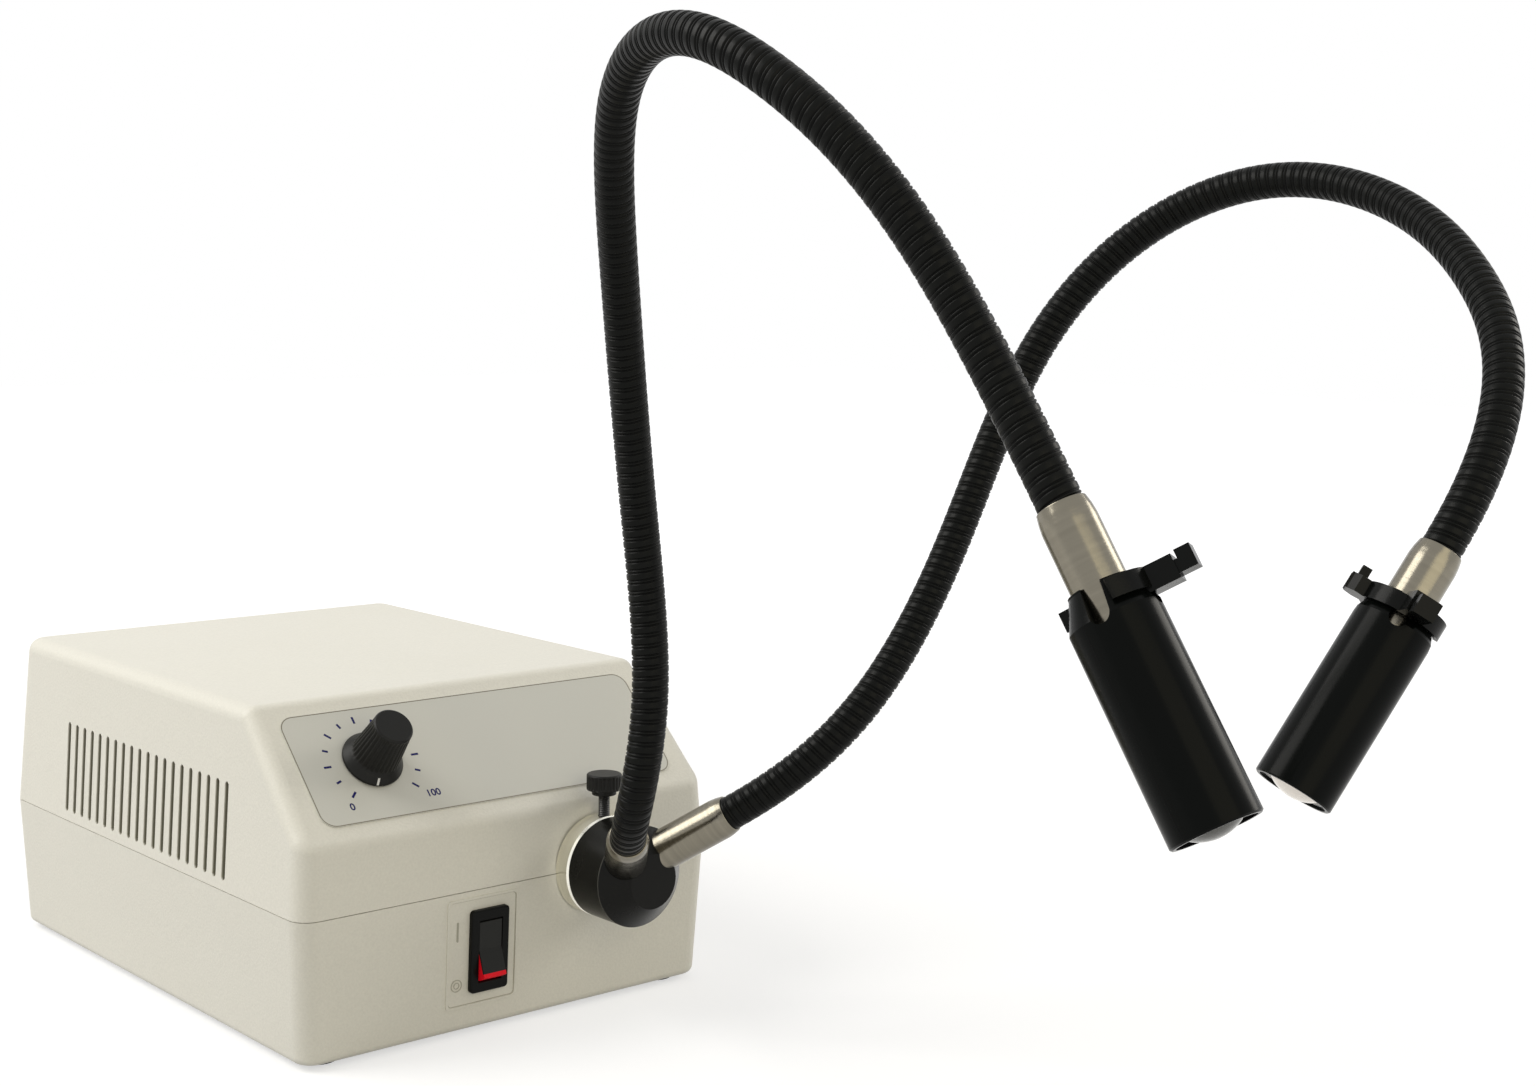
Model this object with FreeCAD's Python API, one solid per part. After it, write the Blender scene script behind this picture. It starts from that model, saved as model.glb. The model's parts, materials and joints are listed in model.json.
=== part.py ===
"""Fiber optic illuminator: a bench light source with a dual gooseneck light guide.

The origin is at the middle of the footprint on the bench. +X is to the right of the sloped control
panel, +Y to the rear and +Z up. The light guide leaves the front wall and points along -Y.
All lengths are in millimetres and all angles in degrees.
"""
import FreeCAD
import Part
import math
import os

Vec = FreeCAD.Vector
UP = Vec(0, 0, 1)
RIGHT = Vec(1, 0, 0)
REAR = Vec(0, 1, 0)
FRONT = Vec(0, -1, 0)
OVERRUN = 1.0
FIT = 0.05
GAP = 0.3

# Housing
HOUSING_WIDTH = 190.0
HOUSING_DEPTH = 248.0
HOUSING_HEIGHT = 126.0
SEAM_HEIGHT = 55.0
FOOT_DROP = 2.0
COVER_DRAFT = 4.4
BASE_DRAFT = 2.6
SLOPE_SETBACK = 47.0
SLOPE_FOOT_HEIGHT = 81.0
WALL = 3.0
CORNER_RADIUS = 8.0
TOP_EDGE_RADIUS = 6.0
BOTTOM_EDGE_RADIUS = 3.0
SEAM_GAP = 0.3
LIP_HEIGHT = 3.0
LIP_WALL = 1.4

# Side vents
VENT_COUNT = 20
VENT_PITCH = 7.2
VENT_WIDTH = 2.8
VENT_HEIGHT = 37.5
VENT_CORNER = 0.9
VENT_BOTTOM = 59.0
VENT_FIRST_Y = -66.5

# Feet and case screws
FOOT_RADIUS = 8.0
FOOT_HEIGHT = 4.0
FOOT_EDGE = 0.8
FOOT_INSET_X = 16.0
FOOT_INSET_Y = 16.0
BOSS_RADIUS = 4.5
BOSS_INSET_X = 14.0
BOSS_INSET_Y = 34.0
SCREW_RADIUS = 1.7
SCREW_HEAD_RADIUS = 3.2
SCREW_HEAD_HEIGHT = 2.4
SCREW_BITE = 12.0

# Control label, knob and potentiometer
LABEL_WIDTH = 161.0
LABEL_LENGTH = 49.5
LABEL_FOOT = 7.5
LABEL_THICKNESS = 0.4
LABEL_RADIUS = 6.0
KNOB_X = -50.0
KNOB_UP_SLOPE = 33.0
KNOB_SKIRT_RADIUS = 12.0
KNOB_SKIRT_HEIGHT = 3.2
KNOB_BODY_RADIUS = 9.4
KNOB_TOP_RADIUS = 7.7
KNOB_HEIGHT = 23.0
KNOB_CLEARANCE = 0.5
KNOB_FLUTES = 15
KNOB_FLUTE_RADIUS = 0.9
KNOB_EDGE = 1.0
POT_SHAFT_RADIUS = 3.0
POT_SHAFT_REACH = 15.0
POT_BUSH_RADIUS = 4.5
POT_BODY_RADIUS = 10.0
POT_BODY_DEPTH = 11.0
POT_NUT_RADIUS = 7.0
POT_NUT_HEIGHT = 2.0
POT_TAG_WIDTH = 12.0
POT_TAG_LENGTH = 8.0
POT_TAG_THICKNESS = 1.6

# Power switch
SWITCH_X = -14.0
SWITCH_HEIGHT = 31.0
BEZEL_WIDTH = 17.0
BEZEL_LENGTH = 32.6
BEZEL_PROUD = 2.2
BEZEL_RADIUS = 1.6
SWITCH_BODY_WIDTH = 13.0
SWITCH_BODY_LENGTH = 27.0
SWITCH_BODY_DEPTH = 20.0
SWITCH_WALL = 1.3
ROCKER_WIDTH = 10.0
ROCKER_END_RADIUS = 12.0
ROCKER_PIVOT = -1.6
ROCKER_VALLEY = 3.6
ROCKER_SKIRT = 1.0
ROCKER_CORE = 4.0
ROCKER_CORE_DEPTH = 6.5
ROCKER_REST_TILT = 11.0
TRUNNION_RADIUS = 1.2
BLADE_WIDTH = 4.8
BLADE_THICKNESS = 0.8
BLADE_LENGTH = 7.0
SWITCH_FRAME_WIDTH = 32.0
SWITCH_FRAME_LENGTH = 43.0
SWITCH_FRAME_X = -16.5
SWITCH_FRAME_RIM = 0.9
SWITCH_FRAME_PROUD = 0.5

# Light receptacle in the front wall
PORT_X = 37.0
PORT_HEIGHT = 58.4
RING_RADIUS = 19.9
RING_THICKNESS = 7.5
RING_EDGE = 0.7
PLUG_RADIUS = 12.7
NECK_RADIUS = 15.2
NECK_LENGTH = 22.0
NECK_NUT_RADIUS = 21.0
NECK_NUT_THICKNESS = 3.5
PLUG_DEPTH = 20.0
PLUG_EDGE = 0.8
PLUG_BORE_RADIUS = 6.6
STUB_RADIUS = 9.3
STUB_LENGTH = 8.6
LOCK_SETBACK = 4.4
LOCK_SHANK_RADIUS = 2.35
LOCK_HEAD_RADIUS = 6.9
LOCK_HEAD_HEIGHT = 6.4
LOCK_STEP_RADIUS = 4.8
LOCK_STEP_HEIGHT = 2.0
LOCK_HEAD_RISE = 28.2
LOCK_FLUTES = 14
LOCK_FLUTE_RADIUS = 0.7
LOCK_EDGE = 0.6

# Light guide hub
HUB_RADIUS = 19.8
HUB_LENGTH = 19.3
HUB_NOSE_RADIUS = 10.8
HUB_EDGE = 0.6
HUB_BORE_DEPTH = 9.2
HUB_CROSSING = 17.5
BRANCH_ANGLE = 45.0
BRANCH_SPREAD = 44.0
HUB_ROLL = 2.5
BRANCH_SEAT = 17.2
CHANNEL_RADIUS = 4.4
BUNDLE_INSET = 12.0

# Ferrules and goosenecks
FERRULE_RADIUS = 8.0
FERRULE_REACH = 50.1
FERRULE_TAPER = 4.6
FERRULE_LIP_RADIUS = 7.2
FERRULE_BORE_RADIUS = 4.4
GOOSENECK_RADIUS = 6.6
GROOVE_DEPTH = 0.75
GOOSENECK_BORE_RADIUS = 4.6
GOOSENECK_TUCK = 5.0
END_RUN = 13.0
HOSE_SIDES = 12
BORE_STEP = 16.0
RIB_PITCH = 9.6
BUNDLE_RADIUS = 3.6
BUNDLE_END_GAP = 4.5
GOOSENECK_SPAN = 560.0
ARM_1_LEAD = 28.0
ARM_2_LEAD = 41.0

# The poles of each gooseneck's smooth line after its lead, as shares of the span, from the mouth
# of its base ferrule
ARM_1_POLE_SHARES = [
    (-0.005, -0.040, 0.090), (-0.015, -0.025, 0.225), (-0.050, -0.050, 0.375), (-0.105, -0.110, 0.475),
    (-0.140, -0.205, 0.505), (-0.145, -0.290, 0.475), (-0.115, -0.355, 0.415), (-0.090, -0.395, 0.335),
    (-0.085, -0.440, 0.265)]
ARM_2_POLE_SHARES = [
    (0.100, -0.065, 0.105), (0.160, -0.065, 0.210), (0.210, -0.070, 0.320), (0.260, -0.115, 0.400),
    (0.295, -0.195, 0.440), (0.290, -0.295, 0.430), (0.245, -0.405, 0.380), (0.180, -0.475, 0.300),
    (0.130, -0.455, 0.220)]
LOWER_BEND_SHARE = 0.13
UPPER_BEND_SHARE = 0.87

# Lens heads
END_FERRULE_LENGTH = 52.0
END_FERRULE_TAPER = 5.5
END_FERRULE_EDGE = 0.6
BARREL_RADIUS = 13.0
BARREL_LENGTH = 70.0
BARREL_EDGE = 0.5
BARREL_MOUTH_WALL = 1.6
BARREL_BORE_RADIUS = 10.2
COLLET_RADIUS = 9.2
COLLET_LENGTH = 0.6
COLLET_CONE_LENGTH = 8.8
COLLET_SLOT_WIDTH = 6.0
COLLET_SLOT_DEPTH = 11.3
COLLET_GUIDE_LENGTH = 18.0
BARREL_1_START = 24.0
BARREL_2_START = 19.2
LENS_EDGE = 2.4
LENS_CROWN = 4.2
LENS_RECESS = 1.0
RETAINER_WIDTH = 1.5
RETAINER_THICKNESS = 1.5
CLAMP_WIDTH = 5.6
CLAMP_WALL = 1.7
CLAMP_SEAT = 1.2
CLAMP_HEEL = 75.0
CLAMP_MOUTH = 115.0
LEVER_BLOCK_LENGTH = 7.0
LEVER_BLOCK_WIDTH = 8.4
LEVER_BLOCK_RISE = 1.3
LEVER_REACH = 26.0
LEVER_WIDTH = 7.0
LEVER_SHEET = 3.8
LEVER_TAB = 4.4
LEVER_HOOK = 0.6
JAW_TURN = 98.0
JAW_REACH = 5.0
JAW_SPAN = 9.0
JAW_TEETH = 3
JAW_TOOTH_SHARE = 0.16
FINGER_WIDTH = 3.2
FINGER_RISE = 3.6
LEVER_1_BEARING = -62.0
LEVER_2_BEARING = -137.5
SLOT_1_TURN = 7.0
SLOT_2_TURN = 14.0

# The toothed jaw of a snap clamp, as shares of its reach outwards and its span across
JAW_SHARES = [
    (-0.30, -0.42), (0.55, -0.50), (1.00, -0.30), (1.00, 0.36), (0.45, 0.50), (-0.30, 0.40)]

# Light engine behind the port
ENGINE_SETBACK = 50.0
CONDENSER_RADIUS = 14.0
CONDENSER_CROWN = 5.0
CONDENSER_EDGE = 3.0
CONDENSER_SPACE = 9.0
HOLDER_RADIUS = 17.0
HOLDER_LIP = 1.5
BOARD_THICKNESS = 1.6
LED_BOARD_SIZE = 40.0
LED_SIZE = 9.0
LED_HEIGHT = 1.6
SINK_WIDTH = 66.0
SINK_HEIGHT = 66.0
SINK_LENGTH = 60.0
SINK_PLATE = 8.0
SINK_FINS = 11
SINK_FIN_THICKNESS = 2.2
BRACKET_SHEET = 2.0
BRACKET_FLANGE = 10.0
FAN_SIZE = 60.0
FAN_DEPTH = 20.0
FAN_BORE_RADIUS = 28.0
FAN_HUB_RADIUS = 12.0
FAN_BLADES = 7
FAN_BLADE_THICKNESS = 1.6
FAN_BLADE_PITCH = 38.0
FAN_TIP_GAP = 1.2
FAN_SPIDER_WIDTH = 4.0
FAN_SPIDER_DEPTH = 2.5
FAN_AXLE_RADIUS = 1.5
FAN_AXLE_LENGTH = 1.6

# Electrics and rear wall
SUPPLY_X = -48.0
SUPPLY_Y = 27.0
SUPPLY_WIDTH = 72.0
SUPPLY_LENGTH = 110.0
SUPPLY_HEIGHT = 42.0
SUPPLY_RADIUS = 1.5
DRIVER_X = -38.0
DRIVER_Y = -66.0
DRIVER_WIDTH = 70.0
DRIVER_LENGTH = 60.0
STANDOFF_HEIGHT = 8.0
STANDOFF_RADIUS = 2.6
STANDOFF_INSET = 4.0
CHIP_SIZE = 12.0
CHIP_HEIGHT = 4.0
CAPACITOR_RADIUS = 5.0
CAPACITOR_HEIGHT = 16.0
INLET_INSET = 45.0
INLET_HEIGHT = 28.0
INLET_WIDTH = 27.4
INLET_TALL = 19.8
INLET_DEPTH = 24.0
INLET_FLANGE_WIDTH = 50.0
INLET_FLANGE_TALL = 24.0
INLET_FLANGE = 2.4
INLET_CORNER = 3.0
INLET_POCKET_WIDTH = 24.2
INLET_POCKET_TALL = 16.4
INLET_POCKET_DEPTH = 17.0
INLET_POCKET_RADIUS = 2.0
PIN_WIDTH = 2.0
PIN_TALL = 4.0
PIN_LENGTH = 11.0
PIN_PITCH = 7.0
PIN_DROP = 2.5
GRILLE_SLOTS = 9
GRILLE_PITCH = 6.0
GRILLE_SLOT = 3.8

SEAM_Z = FOOT_DROP + SEAM_HEIGHT
TOP_Z = FOOT_DROP + HOUSING_HEIGHT
SLOPE_FOOT_Z = FOOT_DROP + SLOPE_FOOT_HEIGHT
COVER_HEIGHT = TOP_Z - SEAM_Z
FLOOR_Z = FOOT_DROP + WALL
FRONT_Y = -HOUSING_DEPTH / 2
PORT = Vec(PORT_X, FRONT_Y, PORT_HEIGHT)


def cover_inset(z):
    """How far the cover's wall leans in at a height."""
    return COVER_DRAFT * (z - SEAM_Z) / COVER_HEIGHT


def base_inset(z):
    """How far the base shell's wall leans in at a height."""
    return BASE_DRAFT * (SEAM_Z - z) / SEAM_HEIGHT


def placed(shape, origin, z_axis, x_hint=RIGHT):
    """Stand a shape made about the origin along an axis, its own X as near the hint as it goes."""
    turn = FreeCAD.Rotation(x_hint, Vec(), z_axis, "ZXY")
    moved = shape.copy()
    moved.Placement = FreeCAD.Placement(origin, turn).multiply(shape.Placement)
    return moved


def turned(profile, origin, axis):
    """A solid of revolution: the profile lists radius and distance along the axis."""
    points = [Vec(radius, 0, along) for radius, along in profile]
    face = Part.Face(Part.makePolygon(points + points[:1]))
    return placed(face.revolve(Vec(), UP, 360), origin, axis)


def rod(origin, axis, radius, length):
    """A round bar that starts at a point."""
    return Part.makeCylinder(radius, length, origin, axis)


def pipe(origin, axis, outer, inner, length):
    """A round tube that starts at a point."""
    return turned([(inner, 0), (outer, 0), (outer, length), (inner, length)], origin, axis)


def block(width, depth, height, centre_x, centre_y, bottom):
    """A box by its sizes, the middle of its plan and its underside."""
    corner = Vec(centre_x - width / 2, centre_y - depth / 2, bottom)
    return Part.makeBox(width, depth, height, corner)


def rounded_plate(width, length, thickness, radius):
    """A flat plate about the origin with rounded corners, standing on the XY plane."""
    plate = block(width, length, thickness, 0, 0, 0)
    uprights = [e for e in plate.Edges if abs(e.tangentAt(e.FirstParameter).z) > 0.5]
    return plate.makeFillet(radius, uprights)


def frustum(bottom_z, top_z, bottom_inset, top_inset, shrink):
    """A block with four leaning walls, pulled in by a wall thickness."""
    half_x = HOUSING_WIDTH / 2 - shrink
    half_y = HOUSING_DEPTH / 2 - shrink
    rings = []
    for z, inset in ((bottom_z, bottom_inset), (top_z, top_inset)):
        x, y = half_x - inset, half_y - inset
        rings.append(Part.makePolygon([
            Vec(-x, -y, z), Vec(x, -y, z), Vec(x, y, z), Vec(-x, y, z), Vec(-x, -y, z)]))
    return Part.makeLoft(rings, True, True)


def leaning_edges(solid):
    """The four upright edges where the walls of a frustum meet."""
    found = []
    for edge in solid.Edges:
        box = edge.BoundBox
        if box.ZLength > max(box.XLength, box.YLength) * 2 and box.ZLength > WALL:
            found.append(edge)
    return found


def slope_cutter(shrink):
    """The wedge that the sloped front takes off the cover."""
    foot = Vec(0, FRONT_Y + cover_inset(SLOPE_FOOT_Z), SLOPE_FOOT_Z)
    head = Vec(0, FRONT_Y + SLOPE_SETBACK, TOP_Z)
    run = head - foot
    inward = Vec(0, run.z, -run.y).normalize() * shrink
    foot, head = foot + inward, head + inward
    start = foot - run
    end = head + run
    far = Vec(0, start.y - HOUSING_DEPTH, end.z)
    near = Vec(0, start.y - HOUSING_DEPTH, start.z)
    side = Vec(-HOUSING_WIDTH, 0, 0)
    face = Part.Face(Part.makePolygon([p + side for p in (start, end, far, near, start)]))
    return face.extrude(RIGHT * HOUSING_WIDTH * 2)


def cover_block(shrink):
    """The cover as a full block, with its slope and its rounded edges."""
    top = TOP_Z - shrink
    radius = max(CORNER_RADIUS - shrink, SEAM_GAP)
    solid = frustum(SEAM_Z, top, 0, cover_inset(top), shrink)
    solid = solid.cut(slope_cutter(shrink))
    solid = solid.makeFillet(radius, leaning_edges(solid))
    rim = max(TOP_EDGE_RADIUS - shrink, SEAM_GAP)
    low = SLOPE_FOOT_Z - CORNER_RADIUS
    edges = [e for e in solid.Edges if e.BoundBox.ZMin > low and not is_corner(e)]
    return solid.makeFillet(rim, edges)


def is_corner(edge):
    """Whether an edge runs up beside a rounded corner, and so is already smooth."""
    box = edge.BoundBox
    return box.ZMax > TOP_Z - TOP_EDGE_RADIUS and box.ZLength > COVER_HEIGHT * 0.9


def base_block(shrink):
    """The base shell as a full block with its rounded edges."""
    bottom = FOOT_DROP + shrink
    solid = frustum(bottom, SEAM_Z, base_inset(bottom), 0, shrink)
    radius = max(CORNER_RADIUS - shrink, SEAM_GAP)
    solid = solid.makeFillet(radius, leaning_edges(solid))
    if shrink > BOTTOM_EDGE_RADIUS - SEAM_GAP:
        return solid
    edges = [e for e in solid.Edges if e.BoundBox.ZMax < bottom + OVERRUN]
    return solid.makeFillet(BOTTOM_EDGE_RADIUS - shrink, edges)


def slab(low, high):
    """Everything between two heights."""
    return block(HOUSING_WIDTH * 2, HOUSING_DEPTH * 2, high - low, 0, 0, low)


def corner_points(inset_x, inset_y):
    """Four places set in alike from the corners of the plan."""
    x, y = HOUSING_WIDTH / 2 - inset_x, HOUSING_DEPTH / 2 - inset_y
    return [Vec(sx * x, sy * y, 0) for sx in (-1, 1) for sy in (-1, 1)]


def vent_slots():
    """Upright slots with cut corners through both side walls."""
    half, cut = VENT_WIDTH / 2, VENT_CORNER
    low = VENT_BOTTOM + FOOT_DROP
    high = low + VENT_HEIGHT
    slots = []
    for index in range(VENT_COUNT):
        y = VENT_FIRST_Y + index * VENT_PITCH
        outline = [
            (y - half, low + cut), (y - half + cut, low), (y + half - cut, low), (y + half, low + cut),
            (y + half, high - cut), (y + half - cut, high), (y - half + cut, high), (y - half, high - cut)]
        points = [Vec(-HOUSING_WIDTH, a, b) for a, b in outline]
        face = Part.Face(Part.makePolygon(points + points[:1]))
        slots.append(face.extrude(RIGHT * HOUSING_WIDTH * 2))
    return Part.makeCompound(slots)


def grille_slots():
    """Level slots in the rear wall within the fan's circle."""
    slots = []
    for index in range(GRILLE_SLOTS):
        rise = (index - (GRILLE_SLOTS - 1) / 2) * GRILLE_PITCH
        edge = abs(rise) + GRILLE_SLOT / 2
        reach = math.sqrt(FAN_BORE_RADIUS ** 2 - edge ** 2) if edge < FAN_BORE_RADIUS else 0
        if reach > GRILLE_SLOT:
            bottom = FAN_CENTRE.z + rise - GRILLE_SLOT / 2
            slots.append(block(reach * 2, WALL * 4, GRILLE_SLOT, FAN_CENTRE.x, HOUSING_DEPTH / 2, bottom))
    return Part.makeCompound(slots)


SLOPE_FOOT = Vec(0, FRONT_Y + cover_inset(SLOPE_FOOT_Z), SLOPE_FOOT_Z)
SLOPE_RUN = (Vec(0, FRONT_Y + SLOPE_SETBACK, TOP_Z) - SLOPE_FOOT).normalize()
SLOPE_OUT = Vec(0, -SLOPE_RUN.z, SLOPE_RUN.y)
KNOB_SEAT = SLOPE_FOOT + RIGHT * KNOB_X + SLOPE_RUN * KNOB_UP_SLOPE
BASE_LEAN = math.atan2(BASE_DRAFT, SEAM_HEIGHT)
SWITCH_Z = FOOT_DROP + SWITCH_HEIGHT
SWITCH_OUT = Vec(0, -math.cos(BASE_LEAN), -math.sin(BASE_LEAN))
SWITCH_SEAT = Vec(SWITCH_X, FRONT_Y + base_inset(SWITCH_Z), SWITCH_Z)
INLET_X = INLET_INSET - HOUSING_WIDTH / 2
INLET_Z = FOOT_DROP + INLET_HEIGHT
INLET_OUT = Vec(0, math.cos(BASE_LEAN), -math.sin(BASE_LEAN))
INLET_SEAT = Vec(INLET_X, HOUSING_DEPTH / 2 - base_inset(INLET_Z), INLET_Z)
BOSS_TOP = SEAM_Z + LIP_HEIGHT
LENS_SEAT_DEPTH = LENS_EDGE + RETAINER_THICKNESS + LENS_RECESS
COLLET_CONE_END = COLLET_LENGTH + COLLET_CONE_LENGTH
COLLET_SLOPE = (BARREL_RADIUS - COLLET_RADIUS) / COLLET_CONE_LENGTH
CLAMP_RADIUS = COLLET_RADIUS + COLLET_SLOPE * (CLAMP_SEAT + CLAMP_WIDTH - COLLET_LENGTH) + CLAMP_WALL
FAN_CENTRE = Vec(PORT_X, HOUSING_DEPTH / 2 - WALL - GAP * 3 - LIP_WALL, SEAM_Z + GRILLE_PITCH / 2)


def on_switch(shape, across=0):
    """Place a shape made flat about the origin on the front wall at the switch, Z outwards."""
    return placed(shape, SWITCH_SEAT + RIGHT * across, SWITCH_OUT)


def upper_cover():
    """The cover: walls, sloped panel, vents, screw posts and the openings of the front and rear."""
    shell = cover_block(0).cut(cover_block(WALL))
    posts = []
    for point in corner_points(BOSS_INSET_X, BOSS_INSET_Y):
        foot = Vec(point.x, point.y, BOSS_TOP)
        post = rod(foot, UP, BOSS_RADIUS, TOP_Z - BOSS_TOP)
        posts.append(post.cut(rod(foot, UP, SCREW_RADIUS, SCREW_BITE)))
    core = cover_block(WALL / 2)
    shell = shell.fuse([post.common(core) for post in posts])
    shell = shell.cut(vent_slots())
    shell = shell.cut(rod(PORT + FRONT * WALL, REAR, NECK_RADIUS + GAP, WALL * 4))
    shell = shell.cut(grille_slots())
    shell = shell.cut(rod(KNOB_SEAT - SLOPE_OUT * WALL * 2, SLOPE_OUT, POT_BUSH_RADIUS + FIT, WALL * 4))
    return shell.cut(slab(SEAM_Z - OVERRUN, SEAM_Z + SEAM_GAP / 2))


def seam_lip():
    """The thin wall that stands up inside the seam and keeps the halves in line."""
    foot = frame_wall(WALL - LIP_WALL, GAP * 2 + LIP_WALL * 2, SEAM_Z - LIP_HEIGHT, LIP_HEIGHT - SEAM_GAP)
    return foot.fuse(frame_wall(WALL + GAP * 2, LIP_WALL, SEAM_Z - LIP_HEIGHT, LIP_HEIGHT * 2))


def frame_wall(inset, thickness, low, height):
    """An upright wall round the plan of the housing, set in from the seam's outline."""
    sizes = []
    for step in (inset, inset + thickness):
        width, depth = HOUSING_WIDTH - step * 2, HOUSING_DEPTH - step * 2
        plate = rounded_plate(width, depth, height, CORNER_RADIUS - step / 2)
        plate.translate(Vec(0, 0, low))
        sizes.append(plate)
    return sizes[0].cut(sizes[1])


def switch_frame():
    """The raised outline round the switch and its marks."""
    rim = rounded_plate(SWITCH_FRAME_WIDTH, SWITCH_FRAME_LENGTH, SWITCH_FRAME_PROUD + FIT, BEZEL_RADIUS)
    window = rounded_plate(
        SWITCH_FRAME_WIDTH - 2 * SWITCH_FRAME_RIM, SWITCH_FRAME_LENGTH - 2 * SWITCH_FRAME_RIM,
        SWITCH_FRAME_PROUD + OVERRUN, BEZEL_RADIUS)
    rim = rim.cut(window)
    rim.translate(Vec(0, 0, -FIT))
    return on_switch(rim, SWITCH_FRAME_X - SWITCH_X)


def base_shell():
    """The base: floor, walls, the lip inside the seam, screw bosses, foot recesses and openings."""
    shell = base_block(0).cut(base_block(WALL))
    shell = shell.cut(slab(SEAM_Z - SEAM_GAP / 2, SEAM_Z + OVERRUN))
    added = [seam_lip(), switch_frame()]
    holes = [grille_slots(), rod(PORT + FRONT * WALL, REAR, NECK_RADIUS + GAP, WALL * 4)]
    for point in corner_points(BOSS_INSET_X, BOSS_INSET_Y):
        root = Vec(point.x, point.y, FLOOR_Z - WALL / 2)
        added.append(rod(root, UP, BOSS_RADIUS, BOSS_TOP - root.z - FIT))
        holes.append(rod(point, UP, SCREW_RADIUS + FIT, BOSS_TOP + OVERRUN))
        holes.append(rod(point, UP, SCREW_HEAD_RADIUS + GAP, FLOOR_Z + SCREW_HEAD_HEIGHT))
    for point in corner_points(FOOT_INSET_X, FOOT_INSET_Y):
        added.append(rod(Vec(point.x, point.y, FLOOR_Z - WALL / 2), UP, FOOT_RADIUS + WALL, WALL))
        holes.append(rod(point, UP, FOOT_RADIUS + FIT, FOOT_HEIGHT))
    body = block(SWITCH_BODY_WIDTH + FIT * 2, SWITCH_BODY_LENGTH + FIT * 2, WALL * 4, 0, 0, -WALL * 3)
    holes.append(on_switch(body))
    inlet = block(INLET_WIDTH + FIT * 2, INLET_TALL + FIT * 2, WALL * 4, 0, 0, -WALL * 3)
    holes.append(on_inlet(inlet))
    return shell.fuse(added).cut(holes)


def on_inlet(shape):
    """Place a shape made flat about the origin on the rear wall at the inlet, Z outwards."""
    return placed(shape, INLET_SEAT, INLET_OUT)


def feet():
    """Four rubber feet in their recesses."""
    shapes = []
    for point in corner_points(FOOT_INSET_X, FOOT_INSET_Y):
        foot = rod(point, UP, FOOT_RADIUS, FOOT_HEIGHT)
        rim = [e for e in foot.Edges if e.BoundBox.ZMax < FOOT_EDGE]
        shapes.append(foot.makeChamfer(FOOT_EDGE, rim))
    return Part.makeCompound(shapes)


def case_screws():
    """The screws that hold the cover, driven up through the base."""
    shapes = []
    for point in corner_points(BOSS_INSET_X, BOSS_INSET_Y):
        head_low = FLOOR_Z
        head = (SCREW_HEAD_RADIUS, head_low + SCREW_HEAD_HEIGHT)
        tip = BOSS_TOP + SCREW_BITE - OVERRUN
        shapes.append(turned([
            (0, head_low), (SCREW_HEAD_RADIUS, head_low), head, (SCREW_RADIUS, head[1]),
            (SCREW_RADIUS, tip), (0, tip)], point, UP))
    return Part.makeCompound(shapes)


def control_label():
    """The printed label on the slope, with a hole for the bush of the potentiometer."""
    plate = rounded_plate(LABEL_WIDTH, LABEL_LENGTH, LABEL_THICKNESS, LABEL_RADIUS)
    seat = SLOPE_FOOT + SLOPE_RUN * (LABEL_FOOT + LABEL_LENGTH / 2)
    label = placed(plate, seat, SLOPE_OUT)
    return label.cut(rod(KNOB_SEAT - SLOPE_OUT, SLOPE_OUT, POT_NUT_RADIUS + GAP, WALL))


def knob_profile():
    """The knob's outline from its axis outwards."""
    low = LABEL_THICKNESS + KNOB_CLEARANCE
    shoulder = low + KNOB_SKIRT_HEIGHT
    bore = POT_SHAFT_RADIUS + FIT
    hollow = POT_NUT_RADIUS + GAP
    deck = POT_NUT_HEIGHT + LABEL_THICKNESS + KNOB_CLEARANCE * 2
    return [
        (hollow, low), (KNOB_SKIRT_RADIUS, low), (KNOB_SKIRT_RADIUS, low + KNOB_SKIRT_HEIGHT / 3),
        (KNOB_BODY_RADIUS + KNOB_EDGE, shoulder), (KNOB_BODY_RADIUS, shoulder + KNOB_EDGE),
        (KNOB_TOP_RADIUS, KNOB_HEIGHT - KNOB_EDGE), (KNOB_TOP_RADIUS - KNOB_EDGE, KNOB_HEIGHT),
        (0, KNOB_HEIGHT), (0, POT_SHAFT_REACH + GAP), (bore, POT_SHAFT_REACH + GAP), (bore, deck),
        (hollow, deck)]


def intensity_knob():
    """The fluted knob on its shaft."""
    body = turned(knob_profile(), Vec(), UP)
    low = LABEL_THICKNESS + KNOB_CLEARANCE + KNOB_SKIRT_HEIGHT + KNOB_EDGE
    lean = math.degrees(math.atan2(KNOB_BODY_RADIUS - KNOB_TOP_RADIUS, KNOB_HEIGHT - low))
    flutes = []
    for index in range(KNOB_FLUTES):
        angle = 360.0 * index / KNOB_FLUTES
        groove = rod(Vec(), UP, KNOB_FLUTE_RADIUS, KNOB_HEIGHT)
        groove.rotate(Vec(), REAR, -lean)
        groove.translate(Vec(KNOB_BODY_RADIUS + KNOB_FLUTE_RADIUS / 3, 0, low))
        groove.rotate(Vec(), UP, angle)
        flutes.append(groove)
    body = body.cut(Part.makeCompound(flutes))
    return placed(body, KNOB_SEAT, SLOPE_OUT)


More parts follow.
